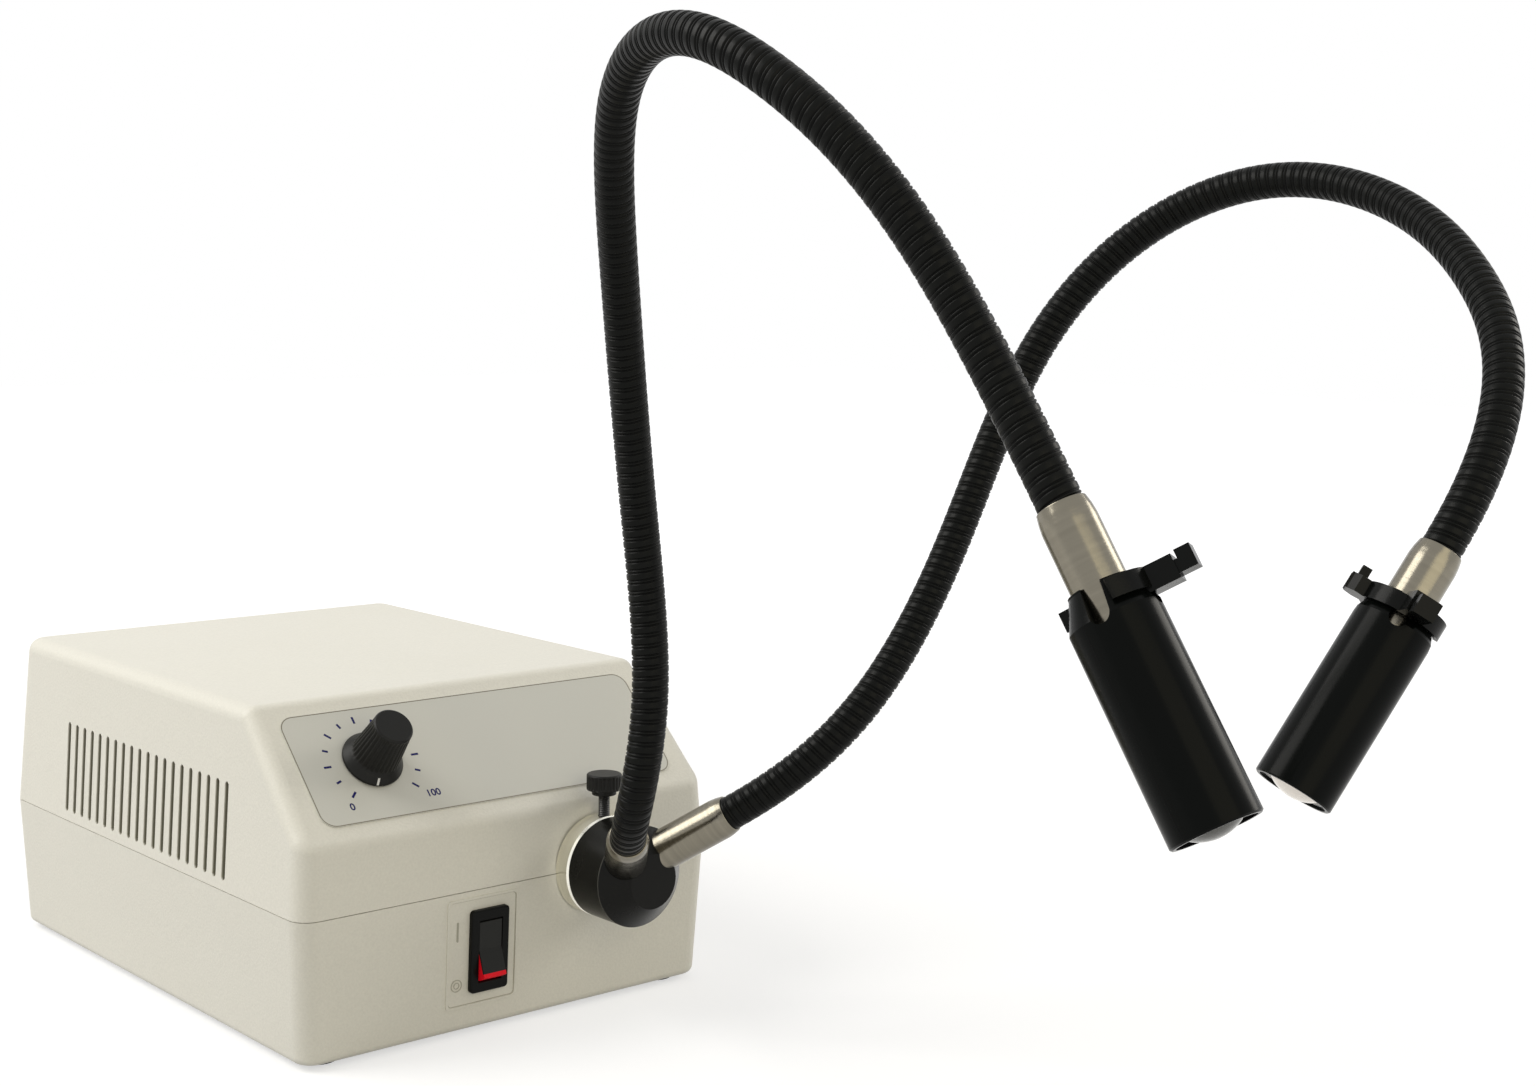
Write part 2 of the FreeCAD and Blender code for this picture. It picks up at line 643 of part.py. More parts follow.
def potentiometer():
    """The potentiometer's can, bush and tags, behind the slope."""
    inside = KNOB_SEAT - SLOPE_OUT * WALL
    can = rod(inside - SLOPE_OUT * POT_BODY_DEPTH, SLOPE_OUT, POT_BODY_RADIUS, POT_BODY_DEPTH)
    bush = rod(inside, SLOPE_OUT, POT_BUSH_RADIUS, WALL + LABEL_THICKNESS + POT_NUT_HEIGHT)
    tags = placed(
        block(POT_TAG_WIDTH, POT_TAG_LENGTH, POT_TAG_THICKNESS, 0, -POT_BODY_RADIUS, 0),
        inside - SLOPE_OUT * POT_BODY_DEPTH, SLOPE_OUT)
    body = can.fuse(bush).fuse(tags)
    depth = POT_BODY_DEPTH + WALL + LABEL_THICKNESS + POT_NUT_HEIGHT
    hole = rod(inside - SLOPE_OUT * (POT_BODY_DEPTH - OVERRUN), SLOPE_OUT, POT_SHAFT_RADIUS + FIT, depth)
    return body.cut(hole)


def potentiometer_nut():
    """The nut that clamps the potentiometer to the panel."""
    corners = [math.radians(60 * index) for index in range(6)]
    points = [Vec(math.cos(angle), math.sin(angle), 0) * POT_NUT_RADIUS for angle in corners]
    hexagon = Part.Face(Part.makePolygon(points + points[:1])).extrude(UP * POT_NUT_HEIGHT)
    hexagon = hexagon.cut(rod(Vec(), UP, POT_BUSH_RADIUS + FIT, POT_NUT_HEIGHT))
    return placed(hexagon, KNOB_SEAT, SLOPE_OUT)


def potentiometer_shaft():
    """The shaft that carries the knob and turns in the bush."""
    low = WALL + POT_BODY_DEPTH - OVERRUN - FIT * 2
    return rod(KNOB_SEAT - SLOPE_OUT * low, SLOPE_OUT, POT_SHAFT_RADIUS, low + POT_SHAFT_REACH)


def rocker_bezel():
    """The switch's bezel, body and terminals."""
    flange = rounded_plate(BEZEL_WIDTH, BEZEL_LENGTH, BEZEL_PROUD, BEZEL_RADIUS)
    rim = [e for e in flange.Edges if e.BoundBox.ZMin > BEZEL_PROUD / 2]
    flange = flange.makeFillet(BEZEL_RADIUS / 2, rim)
    body = block(SWITCH_BODY_WIDTH, SWITCH_BODY_LENGTH, SWITCH_BODY_DEPTH, 0, 0, -SWITCH_BODY_DEPTH)
    window = block(ROCKER_WIDTH + GAP * 2, (ROCKER_END_RADIUS + GAP) * 2,
                   SWITCH_BODY_DEPTH - SWITCH_WALL + BEZEL_PROUD, 0, 0, SWITCH_WALL - SWITCH_BODY_DEPTH)
    end = Vec(-SWITCH_BODY_WIDTH / 2, 0, ROCKER_PIVOT)
    pivot = rod(end, RIGHT, TRUNNION_RADIUS + FIT, SWITCH_BODY_WIDTH)
    blades = [block(BLADE_WIDTH, BLADE_THICKNESS, BLADE_LENGTH, 0, side * SWITCH_BODY_LENGTH / 4,
                    -SWITCH_BODY_DEPTH - BLADE_LENGTH) for side in (-1, 1)]
    return on_switch(flange.fuse(body).cut([window, pivot]).fuse(blades))


def rocker_paddle():
    """The rocker: two faces that meet in a shallow valley, round ends and side trunnions."""
    drum = rod(Vec(-ROCKER_WIDTH / 2, 0, 0), RIGHT, ROCKER_END_RADIUS, ROCKER_WIDTH)
    reach = ROCKER_END_RADIUS + OVERRUN
    valley = ROCKER_VALLEY
    rim = valley + reach * math.tan(math.radians(ROCKER_REST_TILT))
    outline = [
        Vec(0, -reach, rim), Vec(0, 0, valley), Vec(0, reach, rim), Vec(0, reach, -ROCKER_SKIRT),
        Vec(0, ROCKER_CORE, -ROCKER_SKIRT), Vec(0, ROCKER_CORE, -ROCKER_CORE_DEPTH),
        Vec(0, -ROCKER_CORE, -ROCKER_CORE_DEPTH), Vec(0, -ROCKER_CORE, -ROCKER_SKIRT),
        Vec(0, -reach, -ROCKER_SKIRT)]
    slab_shape = Part.Face(Part.makePolygon(outline + outline[:1])).extrude(RIGHT * ROCKER_WIDTH)
    slab_shape.translate(Vec(-ROCKER_WIDTH / 2, 0, 0))
    length = ROCKER_WIDTH + GAP * 2 + SWITCH_WALL * 1.5
    paddle = drum.common(slab_shape).fuse(rod(Vec(-length / 2, 0, 0), RIGHT, TRUNNION_RADIUS, length))
    paddle.rotate(Vec(), RIGHT, -ROCKER_REST_TILT)
    paddle.translate(Vec(0, 0, ROCKER_PIVOT))
    return on_switch(paddle)


def along_port(distance):
    """A point on the port's axis, by its distance out from the front wall."""
    return PORT + FRONT * distance


def receptacle_ring():
    """The bright ring on the front wall and its threaded neck, with the hole of the thumbscrew."""
    bore = PLUG_RADIUS + FIT
    body = turned([
        (bore, -NECK_LENGTH), (NECK_RADIUS, -NECK_LENGTH), (NECK_RADIUS, 0), (RING_RADIUS, 0),
        (RING_RADIUS, RING_THICKNESS - RING_EDGE), (RING_RADIUS - RING_EDGE, RING_THICKNESS),
        (bore, RING_THICKNESS)], PORT, FRONT)
    return body.cut(rod(along_port(LOCK_SETBACK), UP, LOCK_SHANK_RADIUS + FIT, RING_RADIUS + OVERRUN))


def receptacle_nut():
    """The nut behind the front wall."""
    behind = WALL + LIP_WALL + GAP * 3 + NECK_NUT_THICKNESS
    return pipe(along_port(-behind), FRONT, NECK_NUT_RADIUS, NECK_RADIUS + FIT, NECK_NUT_THICKNESS)


def lock_shank():
    """The shank of the thumbscrew, from the plug up to its head."""
    low = PLUG_RADIUS + FIT * 2
    return rod(along_port(LOCK_SETBACK) + UP * low, UP, LOCK_SHANK_RADIUS, LOCK_HEAD_RISE - low - FIT)


def lock_head():
    """The fluted head of the thumbscrew."""
    top = LOCK_STEP_HEIGHT + LOCK_HEAD_HEIGHT
    seat = along_port(LOCK_SETBACK) + UP * LOCK_HEAD_RISE
    body = turned([
        (0, 0), (LOCK_STEP_RADIUS, 0), (LOCK_STEP_RADIUS, LOCK_STEP_HEIGHT),
        (LOCK_HEAD_RADIUS, LOCK_STEP_HEIGHT),
        (LOCK_HEAD_RADIUS, top - LOCK_EDGE), (LOCK_HEAD_RADIUS - LOCK_EDGE, top), (0, top)], seat, UP)
    flutes = []
    for index in range(LOCK_FLUTES):
        flute = rod(seat + RIGHT * (LOCK_HEAD_RADIUS + LOCK_FLUTE_RADIUS / 3), UP, LOCK_FLUTE_RADIUS, top)
        flute.rotate(seat, UP, 360 * index / LOCK_FLUTES)
        flutes.append(flute)
    return body.cut(Part.makeCompound(flutes))


def light_guide_plug():
    """The plug that slides into the receptacle, with the stub on which the hub turns."""
    mouth = RING_THICKNESS + STUB_LENGTH
    return turned([
        (PLUG_BORE_RADIUS, -PLUG_DEPTH), (PLUG_RADIUS - PLUG_EDGE, -PLUG_DEPTH),
        (PLUG_RADIUS, PLUG_EDGE - PLUG_DEPTH), (PLUG_RADIUS, RING_THICKNESS), (STUB_RADIUS, RING_THICKNESS),
        (STUB_RADIUS, mouth), (PLUG_BORE_RADIUS, mouth)], PORT, FRONT)


def common_bundle():
    """The joined fibre bundle in the plug."""
    length = PLUG_DEPTH + RING_THICKNESS + STUB_LENGTH
    return rod(along_port(-PLUG_DEPTH), FRONT, PLUG_BORE_RADIUS - FIT, length)


def branch_heading(side):
    """The direction of a branch out of the hub: side is -1 to the left and 1 to the right."""
    azimuth = math.radians(90 + HUB_ROLL - side * BRANCH_SPREAD)
    lean = math.radians(BRANCH_ANGLE)
    across = RIGHT * math.cos(azimuth) + UP * math.sin(azimuth)
    return FRONT * math.cos(lean) + across * math.sin(lean)


def hub():
    """The black hub: a turned body with a nose, a bore for the stub and two branch sockets."""
    back = RING_THICKNESS + GAP
    edge = back + HUB_LENGTH
    nose = edge + HUB_RADIUS - HUB_NOSE_RADIUS
    body = turned([
        (0, back), (HUB_RADIUS - HUB_EDGE, back), (HUB_RADIUS, back + HUB_EDGE), (HUB_RADIUS, edge),
        (HUB_NOSE_RADIUS, nose), (0, nose)], PORT, FRONT)
    holes = [rod(along_port(back), FRONT, STUB_RADIUS + FIT, HUB_BORE_DEPTH)]
    for side in (-1, 1):
        heading = branch_heading(side)
        crossing = along_port(HUB_CROSSING)
        holes.append(rod(crossing, heading, CHANNEL_RADIUS, FERRULE_REACH))
        holes.append(rod(crossing + heading * BRANCH_SEAT, heading, FERRULE_RADIUS + FIT, FERRULE_REACH))
    return body.cut(holes)


def ferrule_profile(low, high, taper):
    """A ferrule's outline along its axis, with the rounded lip at the end that takes the gooseneck."""
    socket = GOOSENECK_RADIUS + FIT
    step = (FERRULE_RADIUS - FERRULE_LIP_RADIUS) / 3
    return [
        (FERRULE_BORE_RADIUS, low), (FERRULE_RADIUS - END_FERRULE_EDGE, low),
        (FERRULE_RADIUS, low + END_FERRULE_EDGE), (FERRULE_RADIUS, high - taper),
        (FERRULE_RADIUS - step, high - taper / 2),
        (FERRULE_LIP_RADIUS, high), (socket, high), (socket, high - GOOSENECK_TUCK),
        (FERRULE_BORE_RADIUS, high - GOOSENECK_TUCK)]


def base_ferrule(side):
    """The nickel ferrule between the hub and a gooseneck."""
    profile = ferrule_profile(BRANCH_SEAT, FERRULE_REACH, FERRULE_TAPER)
    return turned(profile, along_port(HUB_CROSSING), branch_heading(side))


class CentreLine:
    """The smooth line of a gooseneck, by the distance from the mouth of its base ferrule."""

    def __init__(self, side):
        heading = branch_heading(side)
        start = along_port(HUB_CROSSING) + heading * FERRULE_REACH
        lead = ARM_1_LEAD if side < 0 else ARM_2_LEAD
        shares = ARM_1_POLE_SHARES if side < 0 else ARM_2_POLE_SHARES
        poles = [start, start + heading * lead]
        poles += [start + Vec(*share) * GOOSENECK_SPAN for share in shares]
        self.curve = Part.BSplineCurve()
        self.curve.buildFromPoles(poles, False, 3)
        self.length = self.curve.length()
        self.lower_bend = self.length * LOWER_BEND_SHARE
        self.upper_bend = self.length * UPPER_BEND_SHARE

    def parameter(self, along):
        """The curve's own parameter at a distance."""
        return self.curve.parameterAtDistance(along, self.curve.FirstParameter)

    def point(self, along):
        """The place at a distance, on a straight lead beyond either end."""
        if along < 0:
            return self.point(0) + self.heading(0) * along
        if along > self.length:
            return self.point(self.length) + self.heading(self.length) * (along - self.length)
        return self.curve.value(self.parameter(along))

    def heading(self, along):
        """The direction of travel at a distance."""
        inside = min(max(along, 0), self.length)
        return self.curve.tangent(self.parameter(inside))[0].normalize()


def ring_wire(centre, heading, radius, rounded):
    """A ring across a centre line, turned the same way all along it: flat-sided, or round at an end."""
    step = math.radians(180 / HOSE_SIDES)
    corners = [Vec(math.cos(step * k), math.sin(step * k), 0) * radius for k in range(HOSE_SIDES * 2)]
    edges = []
    for index in range(0, HOSE_SIDES * 2, 2):
        first, middle, last = corners[index], corners[index + 1], corners[(index + 2) % len(corners)]
        edge = Part.Arc(first, middle, last) if rounded else Part.LineSegment(first, last)
        edges.append(edge.toShape())
    return placed(Part.Wire(edges), centre, heading)


def tube_between(line, ends, stations, radii):
    """A ruled solid through circles on a centre line, square to the given directions at its ends."""
    wires = []
    for index, along in enumerate(stations):
        heading = line.heading(along)
        if index == 0 and ends[0]:
            heading = ends[0]
        if index == len(stations) - 1 and ends[1]:
            heading = ends[1]
        wires.append(ring_wire(line.point(along), heading, radii[index], index in (0, len(stations) - 1)))
    return Part.makeLoft(wires, True, True)


def ribbed_tube(line, low, high, ends):
    """The ribbed hose between two places, with its bore."""
    ribs = max(int(round((high - low) / RIB_PITCH)), 1)
    stations, radii = [], []
    for index in range(ribs * 2 + 1):
        stations.append(low + (high - low) * index / (ribs * 2))
        radii.append(GOOSENECK_RADIUS - GROOVE_DEPTH * (index % 2))
    outside = tube_between(line, ends, stations, radii)
    return outside.cut(plain_tube(line, low, high, ends, GOOSENECK_BORE_RADIUS))


def plain_tube(line, low, high, ends, radius):
    """A smooth round bar along the centre line."""
    steps = max(int(math.ceil((high - low) / BORE_STEP)), 2)
    stations = [low + (high - low) * index / steps for index in range(steps + 1)]
    return tube_between(line, ends, stations, [radius] * (steps + 1))


def arc_face(points, arc):
    """A face in the XZ plane bounded by straight lines and one arc, which joins last point to first."""
    corners = [Vec(radius, 0, along) for radius, along in points]
    middle = Vec(arc[0], 0, arc[1])
    edges = [Part.LineSegment(a, b).toShape() for a, b in zip(corners, corners[1:])]
    edges.append(Part.Arc(corners[-1], middle, corners[0]).toShape())
    return Part.Face(Part.Wire(edges))


def ball_end(base, pivot):
    """The end of a hose that is rounded about a pivot."""
    radius, bore = GOOSENECK_RADIUS, GOOSENECK_BORE_RADIUS
    run = (pivot - base).Length
    floor = run - BUNDLE_END_GAP + FIT
    half = radius * math.sqrt(0.5)
    outline = [(0, run + radius), (0, floor), (bore, floor), (bore, 0), (radius, 0), (radius, run)]
    face = arc_face(outline, (half, run + half))
    return placed(face.revolve(Vec(), UP, 360), base, (pivot - base).normalize())


def cup_end(base, pivot):
    """The end of a hose that is hollowed about a pivot, to run round the rounded one."""
    radius, bore = GOOSENECK_RADIUS, GOOSENECK_BORE_RADIUS
    reach = radius + GAP
    run = (base - pivot).Length
    middle = (radius + bore) / 2
    face = arc_face(
        [(radius, cup_height(reach, radius)), (radius, run), (bore, run), (bore, cup_height(reach, bore))],
        (middle, cup_height(reach, middle)))
    return placed(face.revolve(Vec(), UP, 360), pivot, (base - pivot).normalize())


def cup_height(reach, radius):
    """How high a sphere stands over its middle plane at a radius."""
    return math.sqrt(reach ** 2 - radius ** 2)


def gooseneck_lower(line):
    """From inside the base ferrule to the rounded end at the lower bend."""
    pivot = line.point(line.lower_bend)
    top = line.lower_bend - END_RUN
    lead = (pivot - line.point(top)).normalize()
    hose = ribbed_tube(line, 0, top, (line.heading(0), lead))
    return hose.fuse([tucked_end(line.point(0), -line.heading(0)), ball_end(line.point(top), pivot)])


def tucked_end(mouth, heading):
    """The smooth end of a hose inside its ferrule."""
    return pipe(mouth, heading, GOOSENECK_RADIUS, GOOSENECK_BORE_RADIUS, GOOSENECK_TUCK - FIT)


def gooseneck_middle(line):
    """Between the two bends: hollowed at the lower one and rounded at the upper one."""
    pivot_low, pivot_high = line.point(line.lower_bend), line.point(line.upper_bend)
    low, high = line.lower_bend + END_RUN, line.upper_bend - END_RUN
    ends = ((line.point(low) - pivot_low).normalize(), (pivot_high - line.point(high)).normalize())
    hose = ribbed_tube(line, low, high, ends)
    return hose.fuse([cup_end(line.point(low), pivot_low), ball_end(line.point(high), pivot_high)])


def gooseneck_upper(line):
    """From the hollowed end at the upper bend into the end ferrule."""
    pivot = line.point(line.upper_bend)
    low = line.upper_bend + END_RUN
    lead = (line.point(low) - pivot).normalize()
    mouth, heading = line.point(line.length), line.heading(line.length)
    hose = ribbed_tube(line, low, line.length, (lead, heading))
    return hose.fuse([cup_end(line.point(low), pivot), tucked_end(mouth, heading)])


def bundle(line, low, high):
    """A length of the fibre bundle."""
    return plain_tube(line, low, high, (None, None), BUNDLE_RADIUS)


def bundle_lower(line):
    """The bundle from the hub to the lower bend."""
    run = FERRULE_REACH - BUNDLE_INSET
    straight = rod(line.point(0) - line.heading(0) * run, line.heading(0), FERRULE_BORE_RADIUS - FIT, run)
    curved = plain_tube(line, 0, line.lower_bend - BUNDLE_END_GAP, (line.heading(0), None), BUNDLE_RADIUS)
    return straight.fuse(curved)


def bundle_middle(line):
    """The bundle between the bends."""
    clear = GOOSENECK_RADIUS + GAP * 2
    return bundle(line, line.lower_bend + clear, line.upper_bend - BUNDLE_END_GAP)


def bundle_upper(line):
    """The bundle from the upper bend to the end of the end ferrule."""
    clear = GOOSENECK_RADIUS + GAP * 2
    last, heading = line.length, line.heading(line.length)
    curved = plain_tube(line, line.upper_bend + clear, last, (None, heading), BUNDLE_RADIUS)
    return curved.fuse(rod(line.point(last), heading, FERRULE_BORE_RADIUS - FIT, END_FERRULE_LENGTH))


def end_ferrule(line):
    """The long nickel ferrule on which the lens barrel slides."""
    profile = ferrule_profile(-END_FERRULE_LENGTH, 0, END_FERRULE_TAPER)
    return turned(profile, line.point(line.length), -line.heading(line.length))


def head_seat(line, start):
    """Where a barrel begins on its ferrule."""
    return line.point(line.length) + line.heading(line.length) * start


def barrel_start(side):
    """How far down its ferrule a head's barrel begins."""
    return BARREL_1_START if side < 0 else BARREL_2_START


def on_head(shape, line, side, bearing, turn=0):
    """Place a shape made about the origin on a head, Z towards the lens and X near a bearing."""
    heading = line.heading(line.length)
    angle = math.radians(bearing)
    hint = RIGHT * math.cos(angle) + REAR * math.sin(angle)
    moved = shape.copy()
    moved.rotate(Vec(), UP, turn)
    return placed(moved, head_seat(line, barrel_start(side)), heading, hint)


def lens_barrel(line, side):
    """The lens barrel: a slotted collet, a cone, a tube and the seat of the lens."""
    guide = FERRULE_RADIUS + FIT
    mouth = BARREL_RADIUS - BARREL_MOUTH_WALL
    body = turned([
        (guide, 0), (COLLET_RADIUS, 0), (COLLET_RADIUS, COLLET_LENGTH), (BARREL_RADIUS, COLLET_CONE_END),
        (BARREL_RADIUS, BARREL_LENGTH - BARREL_EDGE), (BARREL_RADIUS - BARREL_EDGE, BARREL_LENGTH),
        (mouth, BARREL_LENGTH), (mouth, BARREL_LENGTH - LENS_SEAT_DEPTH),
        (BARREL_BORE_RADIUS, BARREL_LENGTH - LENS_SEAT_DEPTH), (BARREL_BORE_RADIUS, COLLET_GUIDE_LENGTH),
        (guide, COLLET_GUIDE_LENGTH)], Vec(), UP)
    straight = COLLET_SLOT_DEPTH - COLLET_SLOT_WIDTH / 2
    cuts = []
    for long_way, wide_way, axis in ((BARREL_RADIUS * 4, COLLET_SLOT_WIDTH, RIGHT),
                                     (COLLET_SLOT_WIDTH, BARREL_RADIUS * 4, REAR)):
        cuts.append(block(long_way, wide_way, straight + OVERRUN, 0, 0, -OVERRUN))
        end = UP * straight - axis * BARREL_RADIUS * 2
        cuts.append(rod(end, axis, COLLET_SLOT_WIDTH / 2, BARREL_RADIUS * 4))
    turn = SLOT_1_TURN if side < 0 else SLOT_2_TURN
    return on_head(body.cut(cuts), line, side, lever_bearing(side), turn)


def focusing_lens(line, side):
    """The lens, flat behind and domed in front."""
    rim = BARREL_RADIUS - BARREL_MOUTH_WALL - FIT
    dome = rim - RETAINER_WIDTH
    radius = (dome ** 2 + LENS_CROWN ** 2) / (2 * LENS_CROWN)
    half = dome / 2
    height = LENS_EDGE + LENS_CROWN - radius + math.sqrt(radius ** 2 - half ** 2)
    face = arc_face(
        [(0, LENS_EDGE + LENS_CROWN), (0, 0), (rim, 0), (rim, LENS_EDGE), (dome, LENS_EDGE)], (half, height))
    lens = face.revolve(Vec(), UP, 360)
    lens.translate(UP * (BARREL_LENGTH - LENS_SEAT_DEPTH))
    return on_head(lens, line, side, 0)


def lens_retainer(line, side):
    """The ring that holds the lens in its barrel."""
    outer = BARREL_RADIUS - BARREL_MOUTH_WALL - FIT
    seat = UP * (BARREL_LENGTH - LENS_SEAT_DEPTH + LENS_EDGE)
    ring = pipe(seat, UP, outer, outer - RETAINER_WIDTH + FIT, RETAINER_THICKNESS)
    return on_head(ring, line, side, 0)


def toothed(points, start, count, depth):
    """An outline with saw teeth on the side that runs from one of its points to the next."""
    first, last = points[start], points[start + 1]
    run = last - first
    out = Vec(run.y, -run.x, 0).normalize() * depth
    teeth = []
    for index in range(count):
        teeth.append(first + run * (index / count) + out)
        teeth.append(first + run * ((index + 1) / count))
    return points[:start + 1] + teeth + points[start + 2:]


def clamp_band():
    """The open band of a snap clamp, with its mouth past the heel beside the lever."""
    band = rod(Vec(), UP, CLAMP_RADIUS, CLAMP_WIDTH)
    steps = 4
    corners = [Vec()]
    for index in range(steps + 1):
        angle = math.radians(-CLAMP_HEEL - CLAMP_MOUTH * index / steps)
        corners.append(Vec(math.cos(angle), math.sin(angle), 0) * CLAMP_RADIUS * 2)
    mouth = Part.Face(Part.makePolygon(corners + corners[:1])).extrude(UP * CLAMP_WIDTH)
    return band.cut(mouth)


def clamp_lever():
    """The lever of a snap clamp: a block at its root, a thinner arm and a hooked tab at its end."""
    root = COLLET_RADIUS + CLAMP_WALL / 2
    length = CLAMP_RADIUS + LEVER_BLOCK_LENGTH - root
    rise = LEVER_BLOCK_RISE
    base = block(length, LEVER_BLOCK_WIDTH, CLAMP_WIDTH + rise, root + length / 2, 0, -rise)
    reach = LEVER_REACH - root
    arm = block(reach, LEVER_WIDTH, LEVER_SHEET, root + reach / 2, 0, 0)
    tip = LEVER_REACH - LEVER_TAB / 2
    return base.fuse([arm, block(LEVER_TAB, LEVER_WIDTH, CLAMP_WIDTH + LEVER_HOOK, tip, 0, 0)])


def clamp_jaw():
    """The toothed jaw of a snap clamp with its finger tab."""
    points = [Vec(CLAMP_RADIUS + JAW_REACH * x, JAW_SPAN * y, 0) for x, y in JAW_SHARES]
    points = toothed(points, 2, JAW_TEETH, JAW_REACH * JAW_TOOTH_SHARE)
    body = Part.Face(Part.makePolygon(points + points[:1])).extrude(UP * CLAMP_WIDTH)
    rise = FINGER_RISE + CLAMP_WIDTH / 2
    body = body.fuse(block(FINGER_WIDTH, FINGER_WIDTH, rise, CLAMP_RADIUS + JAW_REACH / 2, 0, -FINGER_RISE))
    body.rotate(Vec(), UP, JAW_TURN)
    return body


def lever_bearing(side):
    """The bearing to which a head's clamp turns its lever."""
    return LEVER_1_BEARING if side < 0 else LEVER_2_BEARING


def snap_clamp(line, side):
    """The one-piece snap clamp pressed round the collet's cone, the other way up on the first head."""
    clamp = clamp_band().fuse([clamp_lever(), clamp_jaw()])
    if side < 0:
        clamp.rotate(Vec(), RIGHT, 180)
        clamp.translate(UP * CLAMP_WIDTH)
    clamp.translate(UP * CLAMP_SEAT)
    low, high = -CLAMP_WIDTH, COLLET_CONE_END
    clear = turned([
        (0, low), (COLLET_RADIUS + FIT, low), (COLLET_RADIUS + FIT, COLLET_LENGTH),
        (BARREL_RADIUS + FIT, high), (0, high)], Vec(), UP)
    return on_head(clamp.cut(clear), line, side, lever_bearing(side))


def led_module():
    """The LED on its board, on the front of the heat sink."""
    seat = along_port(-ENGINE_SETBACK)
    board = placed(block(LED_BOARD_SIZE, LED_BOARD_SIZE, BOARD_THICKNESS, 0, 0, 0), seat, FRONT)
    chip = placed(block(LED_SIZE, LED_SIZE, LED_HEIGHT, 0, 0, BOARD_THICKNESS), seat, FRONT)
    return board.fuse(chip)


def condenser_holder():
    """The tube that holds the condenser lens between the LED and the neck."""
    low = BOARD_THICKNESS - ENGINE_SETBACK
    high = -NECK_LENGTH - GAP
    seat = low + CONDENSER_SPACE
    lens = CONDENSER_RADIUS + FIT
    body = turned([
        (lens - HOLDER_LIP, low), (HOLDER_RADIUS, low), (HOLDER_RADIUS, high), (lens, high), (lens, seat),
        (lens - HOLDER_LIP, seat)], PORT, FRONT)
    return body


def condenser_lens():
    """The condenser lens, flat towards the LED."""
    radius = (CONDENSER_RADIUS ** 2 + CONDENSER_CROWN ** 2) / (2 * CONDENSER_CROWN)
    half = CONDENSER_RADIUS / 2
    top = CONDENSER_EDGE + CONDENSER_CROWN
    height = top - radius + math.sqrt(radius ** 2 - half ** 2)
    outline = [(0, top), (0, 0), (CONDENSER_RADIUS, 0), (CONDENSER_RADIUS, CONDENSER_EDGE)]
    face = arc_face(outline, (half, height))
    seat = along_port(BOARD_THICKNESS - ENGINE_SETBACK + CONDENSER_SPACE)
    return placed(face.revolve(Vec(), UP, 360), seat, FRONT)


def heat_sink():
    """The finned heat sink behind the LED."""
    front = FRONT_Y + ENGINE_SETBACK
    bottom = PORT_HEIGHT - SINK_HEIGHT / 2
    plate = block(SINK_WIDTH, SINK_PLATE, SINK_HEIGHT, PORT_X, front + SINK_PLATE / 2, bottom)
    fins = []
    for index in range(SINK_FINS):
        share = index / (SINK_FINS - 1) - 0.5
        x = PORT_X + share * (SINK_WIDTH - SINK_FIN_THICKNESS)
        fins.append(block(SINK_FIN_THICKNESS, SINK_LENGTH, SINK_HEIGHT, x, front + SINK_LENGTH / 2, bottom))
    return plate.fuse(fins)


def sink_bracket():
    """The bent sheet stand that carries the heat sink off the floor."""
    y = FRONT_Y + ENGINE_SETBACK + SINK_LENGTH / 2
    top = PORT_HEIGHT - SINK_HEIGHT / 2
    rise = top - FLOOR_Z
    span = SINK_WIDTH - BRACKET_SHEET * 2
    outer = block(SINK_WIDTH, SINK_LENGTH, rise, PORT_X, y, FLOOR_Z)
    inner = block(span, SINK_LENGTH * 2, rise - BRACKET_SHEET, PORT_X, y, FLOOR_Z)
    feet_plate = block(SINK_WIDTH + BRACKET_FLANGE, SINK_LENGTH, BRACKET_SHEET, PORT_X, y, FLOOR_Z)
    return outer.fuse(feet_plate).cut(inner)


def fan_frame():
    """The square fan frame on the rear wall with its four-armed spider."""
    centre = FAN_CENTRE
    plate = rounded_plate(FAN_SIZE, FAN_SIZE, FAN_DEPTH, INLET_CORNER)
    plate = plate.cut(rod(Vec(), UP, FAN_BORE_RADIUS, FAN_DEPTH))
    arms = [rod(Vec(), UP, FAN_HUB_RADIUS, FAN_SPIDER_DEPTH)]
    arms.append(block(FAN_BORE_RADIUS * 2 + OVERRUN, FAN_SPIDER_WIDTH, FAN_SPIDER_DEPTH, 0, 0, 0))
    arms.append(block(FAN_SPIDER_WIDTH, FAN_BORE_RADIUS * 2 + OVERRUN, FAN_SPIDER_DEPTH, 0, 0, 0))
    plate = plate.fuse(arms).cut(rod(Vec(), UP, FAN_AXLE_RADIUS + FIT, FAN_SPIDER_DEPTH))
    return placed(plate, centre, FRONT)


